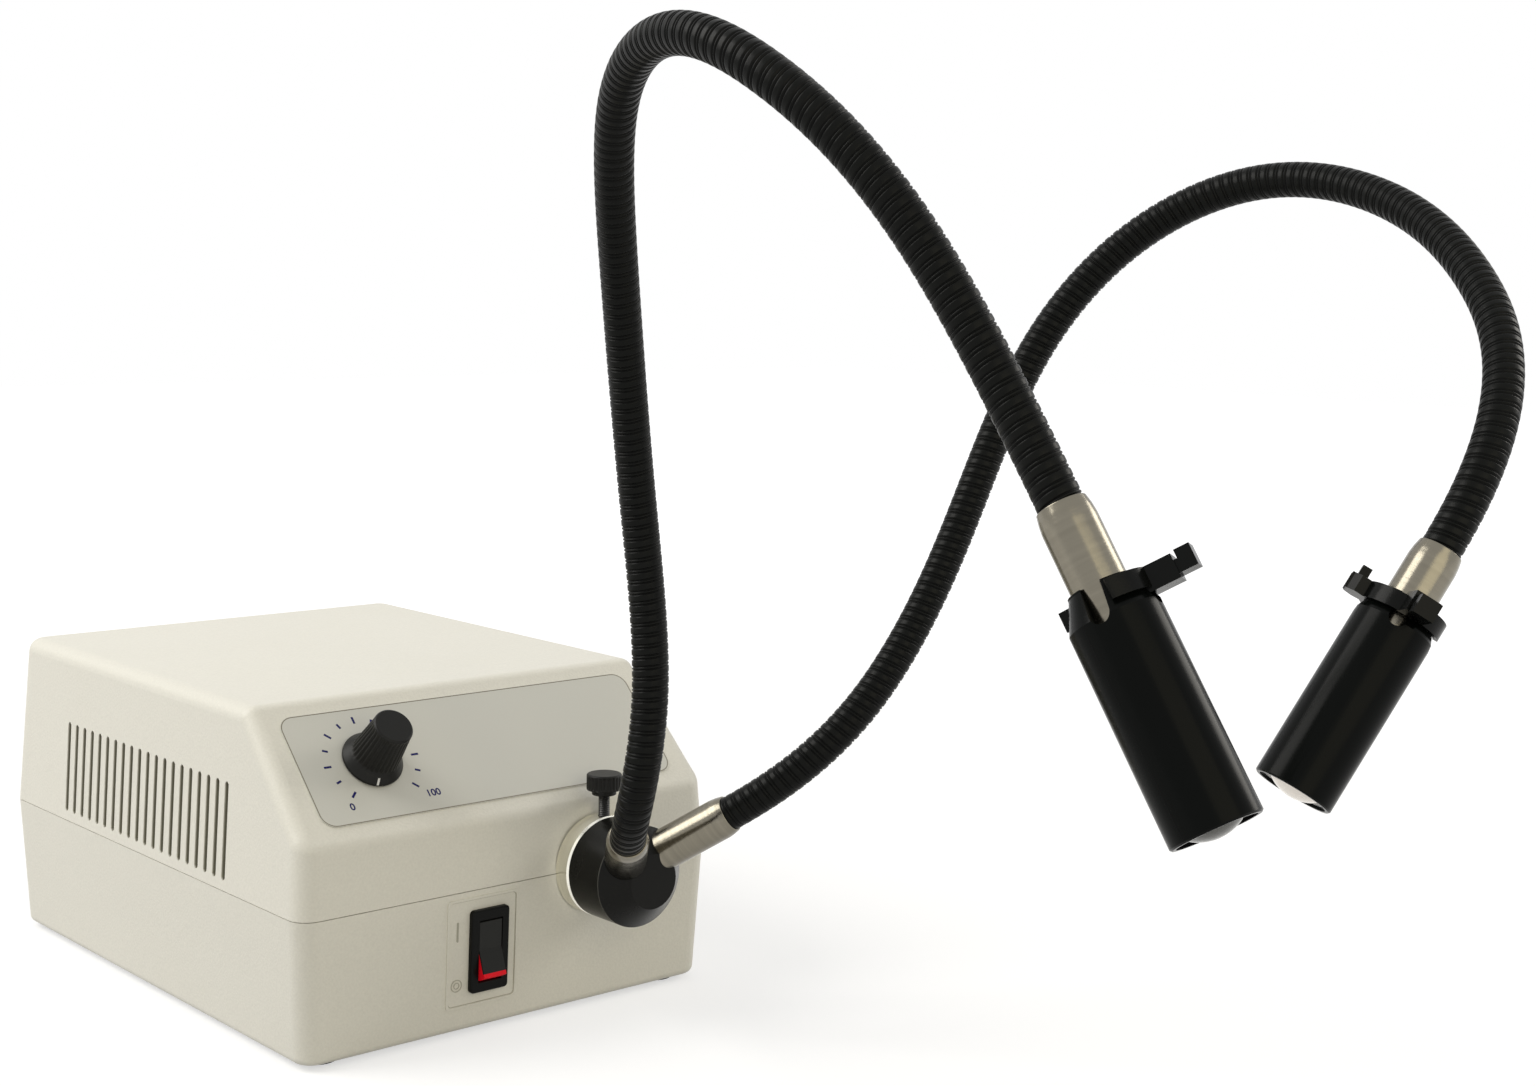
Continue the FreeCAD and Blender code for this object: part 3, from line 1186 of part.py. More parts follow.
def fan_rotor():
    """The fan's hub, blades and axle."""
    low = FAN_SPIDER_DEPTH + GAP
    high = FAN_DEPTH - GAP
    hub_drum = rod(UP * low, UP, FAN_HUB_RADIUS, high - low)
    span = rod(UP * (low + GAP), UP, FAN_BORE_RADIUS - FAN_TIP_GAP, high - low - GAP * 2)
    blades = []
    for index in range(FAN_BLADES):
        blade = Part.makeBox(FAN_BORE_RADIUS, FAN_BLADE_THICKNESS, FAN_DEPTH * 2,
                             Vec(FAN_HUB_RADIUS / 2, -FAN_BLADE_THICKNESS / 2, -FAN_DEPTH))
        blade.rotate(Vec(), RIGHT, FAN_BLADE_PITCH)
        blade.translate(UP * (low + high) / 2)
        blade.rotate(Vec(), UP, 360 * index / FAN_BLADES)
        blades.append(blade.common(span))
    axle = rod(UP * (low - FAN_AXLE_LENGTH), UP, FAN_AXLE_RADIUS, FAN_AXLE_LENGTH + GAP)
    return placed(hub_drum.fuse(blades + [axle]), FAN_CENTRE, FRONT)


def driver_board():
    """The driver board on its standoffs, with its parts."""
    board_low = FLOOR_Z + STANDOFF_HEIGHT
    board = block(DRIVER_WIDTH, DRIVER_LENGTH, BOARD_THICKNESS, DRIVER_X, DRIVER_Y, board_low)
    top = board_low + BOARD_THICKNESS
    pieces = []
    for sx in (-1, 1):
        for sy in (-1, 1):
            x = DRIVER_X + sx * (DRIVER_WIDTH / 2 - STANDOFF_INSET)
            y = DRIVER_Y + sy * (DRIVER_LENGTH / 2 - STANDOFF_INSET)
            pieces.append(rod(Vec(x, y, FLOOR_Z), UP, STANDOFF_RADIUS, STANDOFF_HEIGHT))
        x = DRIVER_X + sx * DRIVER_WIDTH / 4
        pieces.append(block(CHIP_SIZE, CHIP_SIZE, CHIP_HEIGHT, x, DRIVER_Y - DRIVER_LENGTH / 4, top))
        pieces.append(rod(Vec(x, DRIVER_Y + DRIVER_LENGTH / 4, top), UP, CAPACITOR_RADIUS, CAPACITOR_HEIGHT))
    return board.fuse(pieces)


def power_supply():
    """The closed power supply on the floor."""
    case = rounded_plate(SUPPLY_WIDTH, SUPPLY_LENGTH, SUPPLY_HEIGHT, SUPPLY_RADIUS)
    case.translate(Vec(SUPPLY_X, SUPPLY_Y, FLOOR_Z))
    return case


def mains_inlet():
    """The three-pin appliance inlet in the rear wall."""
    flange = rounded_plate(INLET_FLANGE_WIDTH, INLET_FLANGE_TALL, INLET_FLANGE, INLET_CORNER)
    body = block(INLET_WIDTH, INLET_TALL, INLET_DEPTH, 0, 0, -INLET_DEPTH)
    pocket = rounded_plate(INLET_POCKET_WIDTH, INLET_POCKET_TALL, INLET_POCKET_DEPTH, INLET_POCKET_RADIUS)
    floor = INLET_FLANGE - INLET_POCKET_DEPTH
    pocket.translate(UP * floor)
    pins = []
    for index in (-1, 0, 1):
        y = PIN_DROP if index == 0 else -PIN_DROP
        pins.append(block(PIN_WIDTH, PIN_TALL, PIN_LENGTH, index * PIN_PITCH, y, floor))
    return on_inlet(flange.fuse(body).cut(pocket).fuse(pins))


def build():
    """Write one file for each sub-part."""
    os.makedirs("parts", exist_ok=True)
    shapes = {
        "upper_cover": upper_cover(), "base_shell": base_shell(), "rubber_feet": feet(),
        "case_screws": case_screws(), "control_label": control_label(), "intensity_knob": intensity_knob(),
        "potentiometer": potentiometer(), "potentiometer_nut": potentiometer_nut(),
        "potentiometer_shaft": potentiometer_shaft(), "rocker_bezel": rocker_bezel(),
        "rocker_paddle": rocker_paddle(), "receptacle_ring": receptacle_ring(),
        "receptacle_nut": receptacle_nut(), "thumbscrew_shank": lock_shank(), "thumbscrew_head": lock_head(),
        "light_guide_plug": light_guide_plug(), "fibre_bundle_common": common_bundle(), "hub": hub(),
        "led_module": led_module(), "condenser_holder": condenser_holder(),
        "condenser_lens": condenser_lens(), "heat_sink": heat_sink(), "heat_sink_bracket": sink_bracket(),
        "fan_frame": fan_frame(), "fan_rotor": fan_rotor(), "driver_board": driver_board(),
        "power_supply": power_supply(), "mains_inlet": mains_inlet()}
    for number, side in ((1, -1), (2, 1)):
        line = CentreLine(side)
        arm = {
            "base_ferrule": base_ferrule(side), "gooseneck_lower": gooseneck_lower(line),
            "gooseneck_middle": gooseneck_middle(line), "gooseneck_upper": gooseneck_upper(line),
            "fibre_bundle_lower": bundle_lower(line), "fibre_bundle_middle": bundle_middle(line),
            "fibre_bundle_upper": bundle_upper(line), "end_ferrule": end_ferrule(line),
            "lens_barrel": lens_barrel(line, side), "snap_clamp": snap_clamp(line, side),
            "focusing_lens": focusing_lens(line, side), "lens_retainer": lens_retainer(line, side)}
        shapes.update({name + "_" + str(number): shape for name, shape in arm.items()})
    for name, shape in shapes.items():
        shape.exportStep("parts/" + name + ".step")
        print(name, len(shape.Solids), round(shape.Volume / 1000, 2), shape.isValid())


if __name__ == "__main__":
    build()
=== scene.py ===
"""The looks of a fiber optic illuminator with two goosenecks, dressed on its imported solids.

Meshes are in metres, in the frame of the solids: +X to the right of the control panel, +Y to the
rear, +Z up. Sizes in the classes are in millimetres, and angles in degrees. The depth of a grain
and the studio's lamps, target and floor are in metres. A finish never has the name of one of the
record's material slots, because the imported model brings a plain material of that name.
"""
from __future__ import annotations

import json
import logging
import math
import sys
from dataclasses import dataclass, replace
from enum import Enum
from typing import Callable, Optional

import bpy
import numpy as np
from mathutils import Matrix

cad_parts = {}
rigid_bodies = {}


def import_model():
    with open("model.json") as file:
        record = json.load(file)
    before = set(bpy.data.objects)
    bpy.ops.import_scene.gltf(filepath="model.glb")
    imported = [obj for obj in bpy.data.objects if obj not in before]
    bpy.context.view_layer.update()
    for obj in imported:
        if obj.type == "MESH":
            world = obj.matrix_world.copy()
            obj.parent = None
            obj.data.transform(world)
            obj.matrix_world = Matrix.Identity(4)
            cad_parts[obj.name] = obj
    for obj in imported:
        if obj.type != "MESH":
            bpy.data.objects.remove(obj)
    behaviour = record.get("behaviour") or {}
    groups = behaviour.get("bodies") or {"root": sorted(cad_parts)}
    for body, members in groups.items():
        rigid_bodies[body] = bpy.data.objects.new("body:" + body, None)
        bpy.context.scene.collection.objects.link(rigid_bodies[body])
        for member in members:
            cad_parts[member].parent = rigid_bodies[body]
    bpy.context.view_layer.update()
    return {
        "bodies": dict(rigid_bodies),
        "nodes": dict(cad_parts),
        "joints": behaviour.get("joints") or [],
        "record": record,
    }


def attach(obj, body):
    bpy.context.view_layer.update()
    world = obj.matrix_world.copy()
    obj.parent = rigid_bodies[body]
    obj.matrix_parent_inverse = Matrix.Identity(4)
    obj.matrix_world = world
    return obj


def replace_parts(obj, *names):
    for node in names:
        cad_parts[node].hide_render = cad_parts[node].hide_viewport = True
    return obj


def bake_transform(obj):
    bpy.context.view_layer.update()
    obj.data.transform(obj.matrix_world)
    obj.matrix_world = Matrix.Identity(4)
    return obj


LOG = logging.getLogger("illuminator")
MM = 0.001
Array = np.ndarray
Colour = tuple[float, float, float]
Socket = bpy.types.NodeSocket


class Slot(Enum):
    """The record's material slots."""

    HOUSING = "housing_cream"
    PANEL = "panel_grey"
    PLASTIC = "black_plastic"
    SATIN = "satin_nickel"
    HOSE = "hose_black"
    ZINC = "zinc_steel"


class Side(Enum):
    """The two branches of the light guide, by the side on which each leaves the hub."""

    LEFT = -1
    RIGHT = 1


def unit(vector: Array) -> Array:
    """The vector, or each row of vectors, at length one."""
    vector = np.asarray(vector, float)
    return vector / np.linalg.norm(vector, axis=-1, keepdims=True)


class Graph:
    """A short way to write shader nodes into a tree."""

    def __init__(self, tree: bpy.types.NodeTree) -> None:
        """Keep the tree that the nodes go into."""
        self.tree = tree

    def add(self, kind: str, **settings: object) -> bpy.types.Node:
        """Add a node.

        Args:
            kind: the node's type.
            settings: its options by name.

        Returns:
            The new node.
        """
        node = self.tree.nodes.new(kind)
        for key, value in settings.items():
            setattr(node, key, value)
        return node

    def feed(self, target: Socket, value: object) -> None:
        """Link a socket to its source, or set its own value.

        Args:
            target: the input.
            value: a socket, a number or a list of numbers.
        """
        if isinstance(value, bpy.types.NodeSocket):
            self.tree.links.new(value, target)
        else:
            target.default_value = value

    def math(self, operation: str, *values: object) -> Socket:
        """A Math node's result for numbers or sockets.

        Args:
            operation: the operation's name.
            values: its inputs in order.

        Returns:
            The result.
        """
        node = self.add("ShaderNodeMath", operation=operation)
        for target, value in zip(node.inputs, values):
            self.feed(target, value)
        return node.outputs[0]

    def spread(self, value: Socket, low: float, high: float) -> Socket:
        """A share from 0 to 1 laid out between two numbers.

        Args:
            value: the share.
            low: the number at 0.
            high: the number at 1.

        Returns:
            The number that the share stands for.
        """
        node = self.add("ShaderNodeMapRange")
        self.feed(node.inputs["Value"], value)
        self.feed(node.inputs["To Min"], low)
        self.feed(node.inputs["To Max"], high)
        return node.outputs[0]

    def blend(self, share: Socket, first: object, second: object) -> Socket:
        """A colour between two others.

        Args:
            share: 0 for the first colour, 1 for the second.
            first: a colour or its socket.
            second: a colour or its socket.

        Returns:
            The blended colour.
        """
        node = self.add("ShaderNodeMix", data_type="RGBA")
        self.feed(node.inputs["Factor"], share)
        for name, value in (("A", first), ("B", second)):
            target = [s for s in node.inputs if s.name == name and s.type == "RGBA"][0]
            self.feed(target, (*value, 1.0) if isinstance(value, tuple) else value)
        return [s for s in node.outputs if s.type == "RGBA"][0]

    def place(self) -> Socket:
        """The place on a piece in the frame's metres."""
        return self.add("ShaderNodeTexCoord").outputs["Object"]

    def axes(self, place: Socket) -> tuple[Socket, Socket, Socket]:
        """A place's three coordinates in millimetres.

        Args:
            place: a place in the frame's metres.

        Returns:
            Its X, Y and Z.
        """
        parts = self.add("ShaderNodeSeparateXYZ")
        self.feed(parts.inputs[0], place)
        return tuple(self.math("MULTIPLY", parts.outputs[axis], 1 / MM) for axis in "XYZ")

    def noise(self, place: Socket, scale: object, detail: float) -> Socket:
        """Soft random clouds from 0 to 1 at a place.

        Args:
            place: where the noise is read.
            scale: clouds in each metre.
            detail: how many finer layers lie over them.

        Returns:
            The noise.
        """
        node = self.add("ShaderNodeTexNoise")
        self.feed(node.inputs["Vector"], place)
        self.feed(node.inputs["Scale"], scale)
        self.feed(node.inputs["Detail"], detail)
        return node.outputs[0]


def effect(name: str, inputs: dict[str, float], outputs: list[str],
           fill: Callable[[Graph, dict[str, Socket]], dict[str, Socket]]) -> bpy.types.NodeTree:
    """A node group that several materials use, made once.

    Args:
        name: the group's name.
        inputs: its number inputs and their usual values.
        outputs: its number outputs.
        fill: writes the nodes and gives each output's source.

    Returns:
        The group.
    """
    made = bpy.data.node_groups.get(name)
    if made:
        return made
    tree = bpy.data.node_groups.new(name, "ShaderNodeTree")
    for label, value in inputs.items():
        tree.interface.new_socket(label, in_out="INPUT", socket_type="NodeSocketFloat").default_value = value
    for label in outputs:
        tree.interface.new_socket(label, in_out="OUTPUT", socket_type="NodeSocketFloat")
    graph = Graph(tree)
    source, target = graph.add("NodeGroupInput"), graph.add("NodeGroupOutput")
    for label, socket in fill(graph, {k: source.outputs[k] for k in inputs}).items():
        graph.feed(target.inputs[label], socket)
    return tree


def moulded_surface() -> bpy.types.NodeTree:
    """Fine pebble grain, wide tone patches and handling smudges of a moulded or painted surface.

    Returns:
        The group, with the outputs Grain, Patch and Smudge.
    """

    def fill(graph: Graph, given: dict[str, Socket]) -> dict[str, Socket]:
        """Three clouds of noise, the last of them squared.

        Args:
            graph: the group's nodes.
            given: its inputs by name.

        Returns:
            The source of each output by name.
        """
        place = graph.place()
        smudge = graph.noise(place, graph.math("MULTIPLY", given["Patches per metre"], 4.0), 5.0)
        return {
            "Grain": graph.noise(place, given["Grains per metre"], 2.0),
            "Patch": graph.noise(place, given["Patches per metre"], 3.0),
            "Smudge": graph.math("SMOOTH_MIN", graph.math("POWER", smudge, 2.0), 1.0, 0.1)}

    return effect("moulded_surface", {"Grains per metre": 1500.0, "Patches per metre": 12.0},
                  ["Grain", "Patch", "Smudge"], fill)


def turned_rings() -> bpy.types.NodeTree:
    """Fine rings that a lathe tool leaves, by the distance in millimetres across them.

    Returns:
        The group, with the outputs Fine and Broad.
    """

    def fill(graph: Graph, given: dict[str, Socket]) -> dict[str, Socket]:
        """Two runs of noise along the distance.

        Args:
            graph: the group's nodes.
            given: its inputs by name.

        Returns:
            The source of each output by name.
        """
        results = {}
        for label, pace in (("Fine", "Rings per millimetre"), ("Broad", "Bands per millimetre")):
            node = graph.add("ShaderNodeTexNoise", noise_dimensions="1D")
            graph.feed(node.inputs["W"], graph.math("MULTIPLY", given["Distance"], given[pace]))
            graph.feed(node.inputs["Scale"], 1.0)
            graph.feed(node.inputs["Detail"], 2.0)
            results[label] = node.outputs[0]
        return results

    return effect("turned_rings", {"Distance": 0.0, "Rings per millimetre": 9.0, "Bands per millimetre": 0.5},
                  ["Fine", "Broad"], fill)


@dataclass(frozen=True)
class Finish:
    """A surface finish with its colour and how dull it is."""

    name: str
    colour: Colour
    roughness: float = 0.4

    def material(self) -> bpy.types.Material:
        """The finish's material, made at its first use.

        Returns:
            The material.
        """
        made = bpy.data.materials.get(self.name)
        if made is None:
            made = bpy.data.materials.new(self.name)
            made.use_nodes = True
            graph = Graph(made.node_tree)
            shader = made.node_tree.nodes["Principled BSDF"]
            graph.feed(shader.inputs["Base Color"], (*self.colour, 1.0))
            graph.feed(shader.inputs["Roughness"], self.roughness)
            self.write(graph, shader)
        return made

    def write(self, graph: Graph, shader: bpy.types.Node) -> None:
        """Write the finish's own nodes."""
        raise NotImplementedError

    def use_effect(self, graph: Graph, tree: bpy.types.NodeTree, **values: object) -> bpy.types.Node:
        """Place an effect group with its values.

        Args:
            graph: the material's nodes.
            tree: the effect's group.
            values: its inputs by name, with underscores for spaces.

        Returns:
            The group's node.
        """
        node = graph.add("ShaderNodeGroup", node_tree=tree)
        for label, value in values.items():
            graph.feed(node.inputs[label.replace("_", " ")], value)
        return node

    def tint(self, graph: Graph, shader: bpy.types.Node, share: Socket, colour: Colour) -> None:
        """Blend the base colour written so far towards another by a share."""
        plain = shader.inputs["Base Color"].links[0].from_socket
        graph.feed(shader.inputs["Base Color"], graph.blend(share, plain, colour))

    def roughen(self, graph: Graph, shader: bpy.types.Node, height: Socket, depth: float) -> None:
        """Raise the surface by a height of at most the given depth in metres.

        Args:
            graph: the material's nodes.
            shader: its Principled BSDF.
            height: the height from 0 to 1.
            depth: the height's measure in metres.
        """
        bump = graph.add("ShaderNodeBump")
        graph.feed(bump.inputs["Height"], height)
        graph.feed(bump.inputs["Distance"], depth)
        graph.feed(shader.inputs["Normal"], bump.outputs[0])

    def dull(self, graph: Graph, shader: bpy.types.Node, share: Socket, spread: float) -> None:
        """Make the surface smoother or duller about its roughness by a share."""
        low, high = self.roughness - spread, self.roughness + spread
        graph.feed(shader.inputs["Roughness"], graph.spread(share, low, high))

    def shades(self, graph: Graph, share: Socket, spread: float) -> Socket:
        """The colour a little lighter or darker by a share.

        Args:
            graph: the material's nodes.
            share: 0 for the darkest, 1 for the lightest.
            spread: how much darker and lighter, as a share of the colour.

        Returns:
            The colour at each place.
        """
        dark = tuple(c * (1 - spread) for c in self.colour)
        light = tuple(min(c * (1 + spread), 1.0) for c in self.colour)
        return graph.blend(share, dark, light)


@dataclass(frozen=True)
class Moulded(Finish):
    """Moulded plastic, paint, rubber or another even surface with a fine grain."""

    grains: float = 1500.0
    depth: float = 0.00004
    patches: float = 12.0
    tone: float = 0.03
    dulling: float = 0.06
    speckle: float = 0.0
    specular: float = 0.5

    def write(self, graph: Graph, shader: bpy.types.Node) -> None:
        """Grain in the height, patches in the colour and smudges in the roughness.

        Args:
            graph: the material's nodes.
            shader: its Principled BSDF.
        """
        node = self.use_effect(
            graph, moulded_surface(), Grains_per_metre=self.grains, Patches_per_metre=self.patches)
        patch = graph.math("MULTIPLY", node.outputs["Patch"], 1.0 - self.speckle)
        share = graph.math("ADD", patch, graph.math("MULTIPLY", node.outputs["Grain"], self.speckle))
        graph.feed(shader.inputs["Base Color"], self.shades(graph, share, self.tone))
        self.dull(graph, shader, node.outputs["Smudge"], self.dulling)
        graph.feed(shader.inputs["Specular IOR Level"], self.specular)
        self.roughen(graph, shader, node.outputs["Grain"], self.depth)


@dataclass(frozen=True)
class Vented(Moulded):
    """The cover's finish, with painted shade inside the slots of the vents in its two side walls."""

    wall: float = 95.0
    lean: float = 4.4 / 71.0
    seam: float = 57.0
    middle: tuple[float, float] = (1.9, 79.75)
    half_size: tuple[float, float] = (71.0, 20.5)
    skin: float = 0.45
    shade: Colour = (0.29, 0.28, 0.215)

    def write(self, graph: Graph, shader: bpy.types.Node) -> None:
        """Painted shade: darker where a place in the vents lies deeper than the skin of the leaning wall.

        Args:
            graph: the material's nodes.
            shader: its Principled BSDF.
        """
        super().write(graph, shader)
        x, y, z = graph.axes(graph.place())
        face = graph.math("MULTIPLY_ADD", z, -self.lean, self.wall + self.lean * self.seam - self.skin)
        inside = graph.math("LESS_THAN", graph.math("ABSOLUTE", x), face)
        for place, centre, half in zip((y, z), self.middle, self.half_size):
            away = graph.math("ABSOLUTE", graph.math("SUBTRACT", place, centre))
            inside = graph.math("MULTIPLY", inside, graph.math("LESS_THAN", away, half))
        # Painted shade: the insides of the slots are tinted darker.
        self.tint(graph, shader, inside, self.shade)


@dataclass(frozen=True)
class Rimmed(Moulded):
    """Black plastic of the hub, with a painted highlight along the edge between its side and its nose."""

    centre: tuple[float, float] = (37.0, 58.4)
    edge: tuple[float, float] = (19.8, -150.8)
    band: float = 0.45
    rubbed: Colour = (0.075, 0.075, 0.068)

    def write(self, graph: Graph, shader: bpy.types.Node) -> None:
        """A painted highlight: paler where a place is close to the edge's circle, unevenly by the patches.

        Args:
            graph: the material's nodes.
            shader: its Principled BSDF.
        """
        super().write(graph, shader)
        x, y, z = graph.axes(graph.place())
        across = graph.math("POWER", graph.math("SUBTRACT", x, self.centre[0]), 2.0)
        up = graph.math("POWER", graph.math("SUBTRACT", z, self.centre[1]), 2.0)
        radius = graph.math("SQRT", graph.math("ADD", across, up))
        off_radius = graph.math("POWER", graph.math("SUBTRACT", radius, self.edge[0]), 2.0)
        off_along = graph.math("POWER", graph.math("SUBTRACT", y, self.edge[1]), 2.0)
        away = graph.math("SQRT", graph.math("ADD", off_radius, off_along))
        near = graph.math("SUBTRACT", 1.0, graph.math("MULTIPLY", away, 1 / self.band))
        near = graph.math("MAXIMUM", near, 0.0)
        # Painted highlight: the band along the edge is tinted paler.
        self.tint(graph, shader, near, self.rubbed)


@dataclass(frozen=True)
class Turned(Finish):
    """Metal off the lathe: fine rings along a piece's own axis, plated or bare."""

    depth: float = 0.000012
    tone: float = 0.08
    dulling: float = 0.05
    metal: float = 1.0

    def write(self, graph: Graph, shader: bpy.types.Node) -> None:
        """Rings by the second coordinate of the piece's own map, which runs along its axis.

        Args:
            graph: the material's nodes.
            shader: its Principled BSDF.
        """
        place = graph.add("ShaderNodeUVMap").outputs[0]
        parts = graph.add("ShaderNodeSeparateXYZ")
        graph.feed(parts.inputs[0], place)
        self.ring(graph, shader, parts.outputs["Y"])

    def ring(self, graph: Graph, shader: bpy.types.Node, distance: Socket) -> None:
        """Feed the rings at a distance in millimetres to the shader.

        Args:
            graph: the material's nodes.
            shader: its Principled BSDF.
            distance: the distance across the rings, in millimetres.
        """
        node = self.use_effect(graph, turned_rings(), Distance=distance)
        graph.feed(shader.inputs["Metallic"], self.metal)
        graph.feed(shader.inputs["Base Color"], self.shades(graph, node.outputs["Broad"], self.tone))
        self.dull(graph, shader, node.outputs["Fine"], self.dulling)
        self.roughen(graph, shader, node.outputs["Fine"], self.depth)


@dataclass(frozen=True)
class Faced(Turned):
    """Turned metal whose rings lie about an axis along Y, for a face that looks to the front."""

    centre_x: float = 0.0
    centre_z: float = 0.0

    def write(self, graph: Graph, shader: bpy.types.Node) -> None:
        """Rings by the distance from the axis and along it.

        Args:
            graph: the material's nodes.
            shader: its Principled BSDF.
        """
        centred = graph.add("ShaderNodeMapping")
        graph.feed(centred.inputs["Vector"], graph.place())
        graph.feed(centred.inputs["Location"], (-self.centre_x * MM, 0.0, -self.centre_z * MM))
        parts = graph.add("ShaderNodeSeparateXYZ")
        graph.feed(parts.inputs[0], centred.outputs[0])
        across = graph.math("MULTIPLY", parts.outputs["X"], parts.outputs["X"])
        up = graph.math("MULTIPLY", parts.outputs["Z"], parts.outputs["Z"])
        radius = graph.math("SQRT", graph.math("ADD", across, up))
        distance = graph.math("ADD", radius, parts.outputs["Y"])
        self.ring(graph, shader, graph.math("MULTIPLY", distance, 1 / MM))


@dataclass(frozen=True)
class Rolled(Finish):
    """Sheet or extruded metal with streaks along one of its directions."""

    streaks: tuple[float, float, float] = (20.0, 400.0, 20.0)
    depth: float = 0.00001
    tone: float = 0.08
    dulling: float = 0.06

    def write(self, graph: Graph, shader: bpy.types.Node) -> None:
        """Streaks from noise that is drawn out along one direction.

        Args:
            graph: the material's nodes.
            shader: its Principled BSDF.
        """
        drawn = graph.add("ShaderNodeMapping")
        graph.feed(drawn.inputs["Vector"], graph.place())
        graph.feed(drawn.inputs["Scale"], self.streaks)
        streak = graph.noise(drawn.outputs[0], 6.0, 4.0)
        graph.feed(shader.inputs["Metallic"], 1.0)
        graph.feed(shader.inputs["Base Color"], self.shades(graph, streak, self.tone))
        self.dull(graph, shader, streak, self.dulling)
        self.roughen(graph, shader, streak, self.depth)


@dataclass(frozen=True)
class Hose(Finish):
    """The black skin of a gooseneck: darker and dull in its grooves, worn smoother on its ribs; the darker
    colour of the grooves is painted shade.
    """

    groove: Colour = (0.001, 0.001, 0.001)
    specular: float = 0.09
    grains: float = 2600.0
    patches: float = 60.0
    tone: float = 0.18
    groove_dulling: float = 0.2
    rubbing: tuple[float, float] = (0.10, 0.24)
    depth: float = 0.00003

    def write(self, graph: Graph, shader: bpy.types.Node) -> None:
        """Colour and roughness by the piece's own rib height, with a fine grain over it.

        Args:
            graph: the material's nodes.
            shader: its Principled BSDF.
        """
        rib = graph.add("ShaderNodeAttribute", attribute_name="rib").outputs["Fac"]
        node = self.use_effect(
            graph, moulded_surface(), Grains_per_metre=self.grains, Patches_per_metre=self.patches)
        skin = self.shades(graph, node.outputs["Patch"], self.tone)
        # Painted shade: the grooves take the darker groove colour.
        graph.feed(shader.inputs["Base Color"], graph.blend(rib, self.groove, skin))
        rubbed = graph.math("MULTIPLY", rib, graph.spread(node.outputs["Smudge"], *self.rubbing))
        rough = graph.math("SUBTRACT", self.roughness + self.groove_dulling, rubbed)
        graph.feed(shader.inputs["Roughness"], rough)
        graph.feed(shader.inputs["Specular IOR Level"], self.specular)
        self.roughen(graph, shader, node.outputs["Grain"], self.depth)


@dataclass(frozen=True)
class Glass(Finish):
    """Clear or frosted optical glass with faint polishing marks."""

    clearness: float = 1.0
    glow: float = 0.0
    index: float = 1.5
    grains: float = 900.0
    patches: float = 80.0
    tone: float = 0.015
    dulling: float = 0.05

    def write(self, graph: Graph, shader: bpy.types.Node) -> None:
        """Plain glass with a roughness that changes very little, and a painted glow that brightens the lens.

        Args:
            graph: the material's nodes.
            shader: its Principled BSDF.
        """
        # Painted light: the glow is an emission that brightens the lens in place of the pale reflection in
        # its face.
        graph.feed(shader.inputs["Emission Color"], (*self.colour, 1.0))
        graph.feed(shader.inputs["Emission Strength"], self.glow)
        node = self.use_effect(
            graph, moulded_surface(), Grains_per_metre=self.grains, Patches_per_metre=self.patches)
        graph.feed(shader.inputs["Transmission Weight"], self.clearness)
        graph.feed(shader.inputs["IOR"], self.index)
        graph.feed(shader.inputs["Base Color"], self.shades(graph, node.outputs["Patch"], self.tone))
        graph.feed(shader.inputs["Roughness"],
                   graph.spread(node.outputs["Smudge"], self.roughness, self.roughness + self.dulling))


@dataclass(frozen=True)
class CappedRocker(Moulded):
    """A black cap over a lit red body, which shows under the cap and beyond its lower end."""

    seat: tuple[float, float, float] = (0.0, 0.0, 0.0)
    outward: tuple[float, float, float] = (0.0, 0.0, 1.0)
    end: tuple[float, float, float] = (0.0, 0.0, 0.0)
    downward: tuple[float, float, float] = (0.0, 0.0, -1.0)
    lit: Colour = (0.72, 0.006, 0.016)
    glow: float = 0.17

    def beyond(self, graph: Graph, place: Socket, seat: tuple, way: tuple) -> Socket:
        """One where a place lies ahead of a plane, zero behind it.

        Args:
            graph: the material's nodes.
            place: the place on the piece, in metres.
            seat: a point of the plane, in millimetres.
            way: the direction in which the plane looks.

        Returns:
            The mask.
        """
        offset = graph.add("ShaderNodeVectorMath", operation="SUBTRACT")
        graph.feed(offset.inputs[0], place)
        graph.feed(offset.inputs[1], tuple(c * MM for c in seat))
        ahead = graph.add("ShaderNodeVectorMath", operation="DOT_PRODUCT")
        graph.feed(ahead.inputs[0], offset.outputs[0])
        graph.feed(ahead.inputs[1], way)
        return graph.math("GREATER_THAN", ahead.outputs["Value"], 0.0)

    def write(self, graph: Graph, shader: bpy.types.Node) -> None:
        """Red below the cap's underside and past its end, and the cap's colour elsewhere.

        Args:
            graph: the material's nodes.
            shader: its Principled BSDF.
        """
        super().write(graph, shader)
        place = graph.place()
        below = self.beyond(graph, place, self.seat, tuple(-c for c in self.outward))
        inside = graph.math("MAXIMUM", below, self.beyond(graph, place, self.end, self.downward))
        self.tint(graph, shader, inside, self.lit)
        graph.feed(shader.inputs["Emission Color"], graph.blend(inside, (0.0, 0.0, 0.0), self.lit))
        graph.feed(shader.inputs["Emission Strength"], self.glow)


CREAM = Moulded("moulded_cream", (0.765, 0.745, 0.665), 0.50, grains=1050.0, depth=0.00010, patches=7.0,
                tone=0.085, speckle=0.85)
COVER = Vented("cover_cream", CREAM.colour, CREAM.roughness, grains=CREAM.grains, depth=CREAM.depth,
               patches=CREAM.patches, tone=CREAM.tone, speckle=CREAM.speckle)
